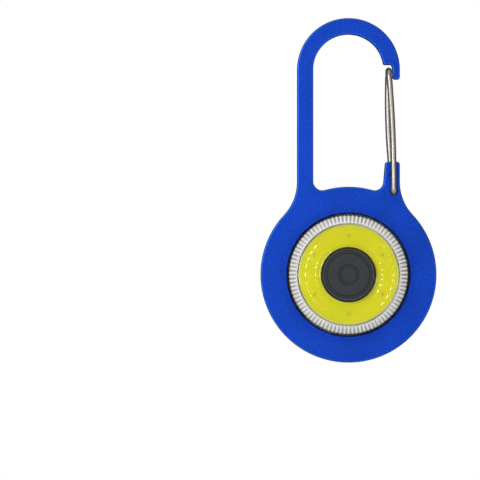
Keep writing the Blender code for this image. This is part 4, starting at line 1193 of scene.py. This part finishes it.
# --- Gate -------------------------------------------------------------------------------------------
@dataclass
class WireGate:
    """The sprung gate: one bent wire that twists as it opens, its ends held in the post's cross holes."""

    foot_y: float
    wire_radius: float = 0.75
    bend: float = 1.6
    end_bend: float = 0.8
    pivot_x: float = 11.05
    pivot_rise: float = 0.9
    pivot_spacing: float = 4.4
    leg_z: float = 3.35
    rear_tip_z: float = -1.6
    front_tip_z: float = -2.3
    flex_reach: float = 6.0
    shelf_y: float = -7.7
    shelf_gap: float = 0.7
    cross_x: float = 10.1635
    front_shift: float = 0.36
    front_bow: float = 0.35
    rear_bow: float = -0.45
    around: int = 24

    def leg(self, foot: np.ndarray, head: np.ndarray, bow: float) -> np.ndarray:
        """Points up one leg: the straight line from foot to head, moved along X by bow * sin(pi * share)."""
        share = np.linspace(0.06, 0.94, 26)[:, None]
        return foot + (head - foot) * share + np.array([1.0, 0.0, 0.0]) * bow * np.sin(math.pi * share)

    def route(self) -> np.ndarray:
        """The wire's centre line, from its upper end over the nose to its lower end, about the pivot.

        Returns:
            Rows of (x, y, z).
        """
        half = self.pivot_spacing / 2
        pivot_y = self.foot_y + self.pivot_rise
        head_y = self.shelf_y - self.shelf_gap - self.wire_radius - pivot_y
        head_x, foot_x = self.cross_x - self.pivot_x, self.front_shift
        rear_tip, rear_foot = (np.array([0.0, half, z]) for z in (self.rear_tip_z, -self.leg_z))
        rear_head, front_head = (np.array([head_x, head_y, z]) for z in (-self.leg_z, self.leg_z))
        front_foot, front_tip = (np.array([foot_x, -half, z]) for z in (self.leg_z, self.front_tip_z))
        route = np.vstack([
            rear_tip + (rear_foot - rear_tip) * np.linspace(0.0, 0.4, 3)[:, None],
            rounded_corner(rear_tip, rear_foot, rear_head, self.end_bend, 10),
            self.leg(rear_foot, rear_head, self.rear_bow),
            rounded_corner(rear_foot, rear_head, front_head, self.bend, 14),
            rounded_corner(rear_head, front_head, front_foot, self.bend, 14),
            self.leg(front_foot, front_head, self.front_bow)[::-1],
            rounded_corner(front_head, front_foot, front_tip, self.end_bend, 10),
            front_tip + (front_foot - front_tip) * np.linspace(0.7, 0.0, 5)[:, None],
        ])
        return route + np.array([self.pivot_x, pivot_y, 0.0])

    def build(self) -> Piece:
        """Builds the wire: a round section along its route, with a rounded nose at each end.

        Each end's section shrinks as radius * cos b while it moves out by nose * sin b.

        Returns:
            The wire.
        """
        route = self.route()
        count = 6
        turns = np.radians(np.linspace(90.0, 0.0, count))[:, None]
        nose = 0.35 * self.wire_radius
        first = route[0] + unit(route[0] - route[1]) * nose * (np.sin(turns) - 1)
        last = route[-1] + unit(route[-1] - route[-2]) * nose * (np.sin(turns[::-1]) - 1)
        path = np.vstack([first, route[1:-1], last])
        radii = np.full(len(path), self.wire_radius)
        radii[:count] = self.wire_radius * np.cos(turns[:, 0])
        radii[-count:] = radii[:count][::-1]
        points, lay = swept(path, radii, self.around)
        return Shell().grid(points, lay=lay).make("gate_spring_wire", 50.0)

    def flex(self, wire: Piece) -> None:
        """Bakes the wire's placement into its mesh; nothing lets it bend.

        Args:
            wire: the finished wire.
        """
        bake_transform(wire)

    def assemble(self, shop: Workshop) -> None:
        """Builds the wire, plates it and bakes its placement; it is fixed to no body."""
        wire = self.build()
        self.flex(wire)
        shop.fit(wire, "wire", None, "gate_wire")


# --- Lamp -------------------------------------------------------------------------------------------
@dataclass
class RingLamp:
    """The clear lens with its ribbed edge, and the phosphor ring under it."""

    centre: np.ndarray
    hole_radius: float = 7.15
    window_radius: float = 13.0
    front_z: float = 3.4
    window_back_z: float = 2.6
    barrel_radius: float = 15.1
    bevel_drop: float = 1.3
    flange_radius: float = 16.55
    flange_front_z: float = 0.5
    flange_back_z: float = -0.2
    cavity_radius: float = 13.4
    rib_count: int = 90
    rib_half_width: float = 0.36
    rib_height: float = 0.2
    rib_samples: int = 16
    scallop_depth: float = 0.24
    trench_depth: float = 0.1
    trench_middle: float = 1.06
    trench_width: float = 0.14
    lobes: tuple = ((4, 1.0), (88, 0.9), (182, 0.5), (272, 0.5))
    lobe_degrees: float = 22.0
    gel_inner: float = 7.0
    gel_outer: float = 12.72
    gel_back_z: float = 1.6
    gel_front_z: float = 2.25
    gel_dip: float = 0.06
    gel_drop: float = 0.1
    crown_inner: float = 7.8
    crown_outer: float = 12.0
    gel_columns: int = 576
    bead_count: int = 36
    bead_height: float = 0.07
    bead_half_width: float = 0.3
    beads: tuple = ((8.45, 0.2, 0.4), (11.1, 0.35, 1.0))
    die_circle: float = 9.925
    die_count: int = 6
    die_spot: float = 0.42

    def window(self) -> Piece:
        """Builds the flat clear window, a ring with eased edges.

        Returns:
            The window.
        """
        seam = (self.hole_radius + 0.4, self.window_back_z, 0)
        profile = softened([
            seam, (self.window_radius, self.window_back_z, 0),
            (self.window_radius, self.front_z, 0.08), (self.hole_radius, self.front_z, 0.16),
            (self.hole_radius, self.window_back_z, 0.1), seam,
        ])
        return Shell().grid(turned(profile, self.centre, 200)).make("lens_window", 30.0)

    def ribs(self) -> Piece:
        """Builds the ribbed edge.

        Over the bevel, each rib is a ridge with a round section and a round outer end. With d the distance
        from the rib's middle line, its height is rise * sqrt(1 - (d / half width)^2); the rise grows
        from an eighth of its full height at the window to the whole of it half-way out. A thin trench runs
        along each flank and round the end, where d is a little over the half width, and between ribs the
        edge is scalloped. Painted shade darkens the trenches, most in four lobes, each e^-(turn from its
        middle / width)^2, which paint a reflection of darker surroundings in the clear rim; it also darkens
        the gap past the ribs' ends and the walls below, and greys the flanks and a thin ring next to the
        window.

        Returns:
            The ribbed ring.
        """
        columns = self.rib_count * self.rib_samples
        angles = full_turn(columns)
        phase = (angles * self.rib_count / (2 * math.pi)) % 1.0 - 0.5
        share = np.linspace(0.0, 1.0, 22)[:, None] ** 0.9
        aside = np.abs(phase) * 2 * math.pi / self.rib_count
        scallop = self.scallop_depth * smooth(np.abs(phase), 0.26, 0.5)
        inner = self.window_radius + 0.02
        radius = inner + share * (self.barrel_radius - scallop - inner)
        end = self.barrel_radius - self.rib_half_width - 0.02
        distance = np.hypot(aside * radius, np.maximum(radius - end, 0.0)) / self.rib_half_width
        dome = np.sqrt(np.clip(1 - distance**2, 0.0, 1.0))
        rise = self.rib_height * (0.12 + 0.88 * smooth(share, 0.1, 0.55))
        outness = np.clip((radius - inner) / (self.barrel_radius - inner), 0, 1)
        bevel = self.front_z - self.bevel_drop * outness**1.25
        height = bevel - rise + rise * dome
        x, y = self.centre[0] + radius * np.cos(angles), self.centre[1] + radius * np.sin(angles)
        top = np.stack([x, y, height], axis=-1)
        outward = 0.45 + 0.55 * smooth(share, 0.1, 0.55)
        trench = np.exp(-(((distance - self.trench_middle) / self.trench_width) ** 2))
        top[..., 2] -= self.trench_depth * trench * outward
        lobes = 0.0
        for middle, strength in self.lobes:
            away = np.degrees(np.angle(np.exp(1j * (angles - math.radians(middle)))))
            lobes = lobes + strength * np.exp(-((away / self.lobe_degrees) ** 2))
        # Painted shade masks: beyond is the dark gap past the ribs' ends, groove darkens the trenches most in
        # the lobes, inner_ring and flank grey the ring by the window and the flanks.
        beyond = smooth(radius, self.barrel_radius - 0.12, self.barrel_radius - 0.02) * (distance > 1.1)
        groove = np.maximum(np.clip(trench * outward * (0.5 + 0.8 * lobes), 0, 1), beyond)
        inner_ring = 0.75 * smooth(-share, -0.12, -0.02)
        flank = np.maximum(smooth(distance, 0.6, 0.95) * (0.2 + 0.4 * outward), inner_ring)
        shell = Shell().grid(top, groove=groove, flank=flank)
        # The outer wall and the flange below it carry painted shade.
        wall = np.stack([top[-1], top[-1]])
        wall[1, :, 2] = self.flange_front_z
        shell.grid(wall, groove=1.0)
        flange = np.array([
            (self.flange_radius, self.flange_front_z), (self.flange_radius, self.flange_back_z),
            (self.cavity_radius, self.flange_back_z), (self.cavity_radius, self.window_back_z),
            (inner, self.window_back_z), (inner, self.front_z - rise[0, 0]),
        ])
        below = turned(flange, self.centre, columns)
        shell.grid(np.concatenate([wall[1:], below]), groove=0.6)
        joint = np.stack([below[-1], top[0]])
        return shell.grid(joint).make("lens_rib_ring", 60.0)

    def gel(self) -> Piece:
        """Builds the phosphor ring: a flat crown that falls away to each dam by drop * (way out)^1.6.

        Two thin beads run round it, slightly off centre. A bead's section is a cosine,
        h (1 + cos(pi d / w)) / 2 with d the distance from its line, and h swells and sinks some dozens of
        times round the ring, so that what it reflects is a row of dashes. A die shows as a soft round spot
        of e^-(distance / spot)^2.

        Returns:
            The phosphor ring.
        """
        angles = full_turn(self.gel_columns)
        spans = ((self.gel_inner, 8.0, 7), (8.04, 8.86, 20), (8.95, 10.4, 10), (10.45, 11.75, 32))
        pieces = [np.linspace(*span) for span in (*spans, (11.85, self.gel_outer, 9))]
        radius = np.concatenate(pieces)[:, None]
        inner_slope = np.clip((self.crown_inner - radius) / (self.crown_inner - self.gel_inner), 0, 1)
        outer_slope = np.clip((radius - self.crown_outer) / (self.gel_outer - self.crown_outer), 0, 1)
        drop = self.gel_drop * (inner_slope**1.6 + outer_slope**1.6)
        wander = 0.9 * np.sin(3 * angles + 0.4) + 1.1 * np.sin(7 * angles)
        swell = smooth(np.cos(self.bead_count * angles + wander), -0.35, 0.45)
        sides = smooth(np.abs(np.cos(angles - 0.05)), 0.45, 0.85)
        x, y = radius * np.cos(angles), radius * np.sin(angles)
        bead = 0.0
        for at, aside, left_share in self.beads:
            away = np.abs(np.hypot(x - aside, y) - at)
            section = (1 + np.cos(math.pi * np.clip(away / self.bead_half_width, 0, 1))) / 2
            lit = swell * sides * np.where(np.cos(angles) < 0, left_share, 1.0)
            bead = bead + self.bead_height * section * (0.08 + 0.92 * lit)
        height = self.gel_front_z - self.gel_dip - drop + bead
        top = np.stack([self.centre[0] + x, self.centre[1] + y, height], axis=-1)
        die = np.zeros_like(x)
        for number in range(self.die_count):
            turn = math.radians(90 + 360 * number / self.die_count)
            gap = np.hypot(x - self.die_circle * math.cos(turn), y - self.die_circle * math.sin(turn))
            die = np.maximum(die, np.exp(-((gap / self.die_spot) ** 2)))
        rimward = smooth(radius, self.crown_outer + 0.05, self.gel_outer - 0.02)
        shell = Shell().grid(top, die=die * 0.75, rimward=rimward)
        under = np.array([(self.gel_outer, self.gel_back_z), (self.gel_inner, self.gel_back_z)])
        base = turned(under, self.centre, self.gel_columns)
        shell.grid(np.concatenate([top[-1:], base, top[:1]]), rimward=1.0)
        return shell.make("phosphor_layer", 40.0)

    def assemble(self, shop: Workshop) -> None:
        """Builds the three pieces and fixes them in the frame."""
        shop.fit(self.window(), "window", "light", "ribbed_lens")
        shop.fit(self.ribs(), "ribs", "light", "ribbed_lens")
        shop.fit(self.gel(), "gel", "light", "phosphor_ring", "inner_dam")


# --- Button -----------------------------------------------------------------------------------------
@dataclass
class PushButton:
    """The round cap: a raised lip, a groove inside it, a flat face, and a ringed disc in the middle."""

    centre: np.ndarray
    radius: float = 6.8
    top_z: float = 4.4
    flange_radius: float = 8.3
    flange_front_z: float = 0.45
    flange_back_z: float = -0.15
    inner_radius: float = 5.6
    inner_top_z: float = 3.1
    boss_radius: float = 1.8
    boss_z: float = 0.8
    lip_radius: float = 6.31
    ring_radius: float = 2.09
    steps: int = 160

    def build(self) -> Piece:
        """Builds the cap as one turned shell.

        Returns:
            The cap. Its mask "edge" is 1 on the lip and a half on the ring round the middle disc.
        """
        top = self.top_z
        disc = [(0.0, top - 0.2, 0), (1.88, top - 0.2, 0.06)]
        disc += [(2.02, top - 0.1, 0.06), (2.16, top - 0.1, 0.05)]
        face = [(2.3, top - 0.3, 0.06), (2.52, top - 0.3, 0.08)]
        face += [(2.72, top - 0.1, 0.1), (5.28, top - 0.08, 0.12)]
        rim = [(5.5, top - 0.38, 0.05), (6.02, top - 0.38, 0.08), (6.2, top, 0.1), (6.42, top, 0.1)]
        skirt = [
            (self.radius, top - 0.45, 0.16), (self.radius, self.flange_front_z, 0),
            (self.flange_radius, self.flange_front_z, 0.08), (self.flange_radius, self.flange_back_z, 0.08),
        ]
        inside = [
            (self.inner_radius, self.flange_back_z, 0), (self.inner_radius, self.inner_top_z, 0.2),
            (self.boss_radius, self.inner_top_z, 0.1), (self.boss_radius, self.boss_z, 0.1),
            (0.0, self.boss_z, 0),
        ]
        profile = softened(disc + face + rim + skirt + inside)
        radius, height = profile.T
        # The lip and ring mask carries the paler olive line: partly wear, partly the lip's painted highlight.
        lip = smooth(np.abs(radius - self.lip_radius), 0.17, 0.1) * smooth(height, top - 0.3, top - 0.02)
        ring = 0.5 * smooth(np.abs(radius - self.ring_radius), 0.12, 0.06) * (height > top - 0.4)
        edge = np.clip(lip + ring, 0, 1)[:, None]
        return Shell().grid(turned(profile, self.centre, self.steps), edge=edge).make("push_button", 50.0)

    def assemble(self, shop: Workshop) -> None:
        """Builds the cap and fixes it to the button's body."""
        shop.fit(self.build(), "button", "button", "button_cap")


# --- Rear cover and screws --------------------------------------------------------------------------
@dataclass
class RearCover:
    """The moulded rear cover: a shallow cup with three counterbored screw bosses."""

    centre: np.ndarray
    screws: list
    radius: float = 21.7
    wall: float = 1.2
    front_z: float = -2.6
    floor_z: float = -7.5
    back_z: float = -8.7
    edge_round: float = 0.6
    flat_margin: float = 0.15
    front_ease: float = 0.3
    seat_z: float = -7.4
    seat_radius: float = 1.95
    seat_ease: float = 0.2
    hole_radius: float = 1.2
    boss_radius: float = 2.7
    steps: int = 360
    bore_steps: int = 56

    def cavity(self) -> np.ndarray:
        """The inside wall seen from above: at each angle, the nearer of the wall and a boss.

        A ray at angle e from a boss, whose centre is c away and whose radius is b, meets it at
        c cos e - sqrt(b^2 - c^2 sin^2 e).

        Returns:
            Rows of (x, y).
        """
        angles = full_turn(self.steps)
        reach = np.full(self.steps, self.radius - self.wall)
        for screw in self.screws:
            away = screw - self.centre
            distance = float(np.linalg.norm(away))
            turn = np.angle(np.exp(1j * (angles - math.atan2(away[1], away[0]))))
            inside = self.boss_radius**2 - (distance * np.sin(turn)) ** 2
            meets = (inside > 0) & (np.abs(turn) < 1)
            near = distance * np.cos(turn) - np.sqrt(np.maximum(inside, 0.0))
            reach = np.where(meets, np.minimum(reach, near), reach)
        return self.centre + reach[:, None] * np.column_stack([np.cos(angles), np.sin(angles)])

    def build(self) -> Piece:
        """Builds the cover: outer wall with a rounded rear edge, cavity, and counterbored bosses.

        Returns:
            The cover, as one closed mesh.
        """
        back_radius = self.radius - self.edge_round - self.flat_margin
        front_radius = self.radius - self.front_ease
        corners = [
            (front_radius, self.front_z, 0), (self.radius, self.front_z, 0.1),
            (self.radius, self.back_z, self.edge_round), (back_radius, self.back_z, 0),
        ]
        outer = softened(corners, 8)
        radius, height = outer.T
        low = smooth(self.back_z - height, -self.edge_round - 0.02, -0.3)
        edge_weight = low * smooth(radius, self.radius - 0.65, self.radius - 0.4)
        shell = Shell().grid(turned(outer, self.centre, self.steps), edge=edge_weight[:, None])
        inside = self.cavity()
        levels = (self.front_z, self.floor_z)
        shell.grid(np.stack([np.column_stack([inside, np.full(self.steps, z)]) for z in levels]))
        back = [circle(self.centre, back_radius, self.steps)]
        front = [circle(self.centre, front_radius, self.steps), inside]
        mouth = self.seat_radius + self.seat_ease
        for screw in self.screws:
            bore = softened([
                (mouth, self.back_z, 0), (self.seat_radius, self.back_z, 0.12),
                (self.seat_radius, self.seat_z, 0.08), (self.hole_radius, self.seat_z, 0),
                (self.hole_radius, self.front_z, 0),
            ])
            shell.grid(turned(bore, screw, self.bore_steps))
            back.append(circle(screw, mouth, self.bore_steps))
            front.append(circle(screw, self.hole_radius, self.bore_steps))
        shell.flat(back, self.back_z)
        shell.flat(front, self.front_z)
        shell.flat([inside], self.floor_z)
        return shell.make("rear_cover", 40.0)

    def assemble(self, shop: Workshop) -> None:
        """Builds the cover and fixes it behind the frame."""
        shop.fit(self.build(), "cover", "light", "back_cover")


@dataclass
class CoverScrew:
    """One cross-recessed pan-head screw, its head towards the rear."""

    number: int
    middle: np.ndarray
    turn: float
    head_radius: float = 1.65
    seat_z: float = -7.38
    head_z: float = -8.5
    shank_radius: float = 1.0
    tip_z: float = 0.7
    arm: float = 1.2
    arm_half_width: float = 0.6
    arm_taper: float = 0.2
    recess_depth: float = 0.62
    crown: float = 0.12
    rim_drop: float = 0.42
    rim_gap: float = 0.02
    steps: int = 144

    def build(self) -> Piece:
        """Builds the screw.

        The head's depth below its top is crown * s^2 with s the way out, and over the last fifth of s the
        rim drops by a quarter circle more. The recess is sunk inside either arm of a cross whose arms
        narrow outwards: the sink is a soft step of the distance outside the arms' boxes, and its floor
        falls towards the middle as a cone. Its mask fades out on the floor's middle.

        Returns:
            The screw.
        """
        angles = full_turn(self.steps)
        share = np.linspace(0.0, 1.0, 46)[:, None]
        radius = share * (self.head_radius - self.rim_gap)
        rim = np.clip((share - 0.8) / 0.2, 0.0, 1.0)
        height = self.head_z + self.crown * share**2 + self.rim_drop * (1 - np.sqrt(1 - rim**2 * 0.98))
        along = radius * np.cos(angles - math.radians(self.turn))
        aside = radius * np.sin(angles - math.radians(self.turn))
        width = self.arm_half_width - self.arm_taper * smooth(radius, 0.3, self.arm)
        first = np.maximum(np.abs(along) - self.arm, np.abs(aside) - width)
        second = np.maximum(np.abs(aside) - self.arm, np.abs(along) - width)
        sunk = smooth(np.minimum(first, second), 0.04, -0.09)
        depth = self.recess_depth * (1 - 0.45 * np.clip(radius / self.arm, 0, 1))
        x = self.middle[0] + radius * np.cos(angles)
        y = self.middle[1] + radius * np.sin(angles)
        top = np.stack([x, y, height + sunk * depth], axis=-1)
        # The mask "recess" is painted shade in the cross, fading out on its floor's middle.
        shell = Shell().grid(top, recess=sunk * smooth(radius, 0.4, 0.65))
        rim_z = float(height[-1, 0])
        body = softened([
            (self.head_radius - self.rim_gap, rim_z, 0), (self.head_radius, rim_z + 0.05, 0),
            (self.head_radius, self.seat_z, 0.04), (self.shank_radius, self.seat_z, 0.05),
            (self.shank_radius, self.tip_z - 0.3, 0.1), (self.shank_radius - 0.3, self.tip_z, 0),
            (0.0, self.tip_z, 0),
        ])
        shell.grid(turned(body, self.middle, self.steps))
        return shell.make(f"cross_screw_{self.number}", 45.0)

    def assemble(self, shop: Workshop) -> None:
        """Builds the screw and drives it home."""
        shop.fit(self.build(), "screw", "light", f"cover_screw_{self.number}")


# --- Studio -----------------------------------------------------------------------------------------
@dataclass
class Studio:
    """A pale floor well below, a white surround, soft lamps and the camera."""

    focal_mm: float = 400.0
    distance: float = 1.351
    camera_x: float = -0.02744
    camera_z: float = -0.05203
    floor_z: float = -0.13
    floor_radius: float = 320.0
    floor_dip: float = 2.0
    ambient: float = 0.3
    mirrored: float = 0.12
    middle: Vector = field(default_factory=lambda: Vector((0.0, 0.0, -0.045)))

    def surround(self) -> None:
        """Makes the world: white where the camera looks straight at it, dimmer in reflections."""
        world = bpy.data.worlds.new("white_surround")
        world.use_nodes = True
        bpy.context.scene.world = world
        sheet = Sheet(world.node_tree)
        seen = world.node_tree.nodes["Background"]
        seen.inputs["Color"].default_value = (1.0, 1.0, 1.0, 1.0)
        seen.inputs["Strength"].default_value = 1.0
        path = sheet.add("LightPath")
        less = self.mirrored - self.ambient
        strength = sheet.maths("MULTIPLY_ADD", path.outputs["Is Glossy Ray"], less, self.ambient)
        lit = sheet.add("Background", {"Color": (0.93, 0.96, 1.0, 1.0), "Strength": strength})
        direct = path.outputs["Is Camera Ray"]
        both = sheet.add("MixShader", {0: direct, 1: lit.outputs[0], 2: seen.outputs[0]})
        sheet.feed(world.node_tree.nodes["World Output"], "Surface", both.outputs[0])

    def lamp(self, name: str, place: tuple, size: tuple, power: float) -> None:
        """Hangs one soft rectangular lamp that faces the object.

        Args:
            name: the lamp's name.
            place: where it hangs, in metres.
            size: its width and height, in metres.
            power: its power in watts.
        """
        data = bpy.data.lights.new(name, "AREA")
        data.shape = "RECTANGLE"
        data.size, data.size_y = size
        data.energy = power
        lamp = bpy.data.objects.new(name, data)
        lamp.location = place
        lamp.rotation_euler = (self.middle - Vector(place)).to_track_quat("-Z", "Y").to_euler()
        lamp.visible_camera = False
        bpy.context.scene.collection.objects.link(lamp)

    def floor(self, shop: Workshop) -> None:
        """Lays a pale floor, a thin round board that dips by a hair towards its middle.

        Its top is z = floor + dip * (r / R)^2.

        Args:
            shop: the workshop, for its shared grain.
        """
        reach = np.linspace(0.0, self.floor_radius, 24)
        level = self.floor_z / MM
        top = np.column_stack([reach, level + self.floor_dip * (reach / self.floor_radius) ** 2])
        under = np.array([(self.floor_radius, level - 3.0), (0.0, level - 3.0)])
        x, y, z = np.moveaxis(turned(np.vstack([top, under]), np.zeros(2), 64), -1, 0)
        obj = Shell().grid(np.stack([x, z, y], axis=-1)).make("pale_floor")
        material, sheet, shader = new_material("floor_paper")
        grain = sheet.use(shop.effects.grain, Size=1.5)
        paper = sheet.mix(grain.outputs["Tone"], (0.86, 0.86, 0.86), (0.9, 0.9, 0.89))
        sheet.feed(shader, "Base Color", paper)
        shader.inputs["Roughness"].default_value = 0.8
        obj.data.materials.append(material)

    def camera(self) -> None:
        """Sets up the camera: a long lens that looks straight at the lamp's face."""
        data = bpy.data.cameras.new("camera")
        data.lens = self.focal_mm
        data.sensor_width = 36.0
        data.clip_start, data.clip_end = 0.05, 20.0
        camera = bpy.data.objects.new("camera", data)
        camera.location = (self.camera_x, -self.distance, self.camera_z)
        camera.rotation_euler = (math.pi / 2, 0.0, 0.0)
        bpy.context.scene.collection.objects.link(camera)
        bpy.context.scene.camera = camera

    def assemble(self, shop: Workshop) -> None:
        """Sets up the surround, the lamps, the floor and the camera.

        Args:
            shop: the workshop.
        """
        self.surround()
        self.lamp("key_left", (-0.25, -0.56, 0.05), (0.2, 0.3), 1.62)
        self.lamp("fill_right", (0.42, -0.92, -0.25), (0.12, 0.5), 2.0)
        self.lamp("top", (0.0, -0.4, 0.75), (0.7, 0.5), 1.5)
        self.lamp("rear", (0.25, 0.95, 0.25), (0.6, 0.6), 4.0)
        self.floor(shop)
        self.camera()
        settings = bpy.context.scene.view_settings
        settings.view_transform = "Standard"
        settings.look = "None"


def main() -> None:
    """Builds every sub-assembly in order."""
    logging.basicConfig(level=logging.INFO, format="%(message)s")
    shop = Workshop()
    disc = bench_centre("lens_gasket")
    screws = [bench_centre(f"cover_screw_{number}") for number in (1, 2, 3)]
    HookFrame(disc, screws=screws).assemble(shop)
    WireGate(foot_y=float(disc[1]) + HookFrame.body_radius).assemble(shop)
    RingLamp(disc).assemble(shop)
    PushButton(disc).assemble(shop)
    RearCover(disc, screws).assemble(shop)
    for number, (middle, turn) in enumerate(zip(screws, (38.0, 22.0, 47.0)), 1):
        CoverScrew(number, middle, turn).assemble(shop)
    shop.dress_nodes()
    Studio().assemble(shop)


if __name__ == "__main__":
    main()
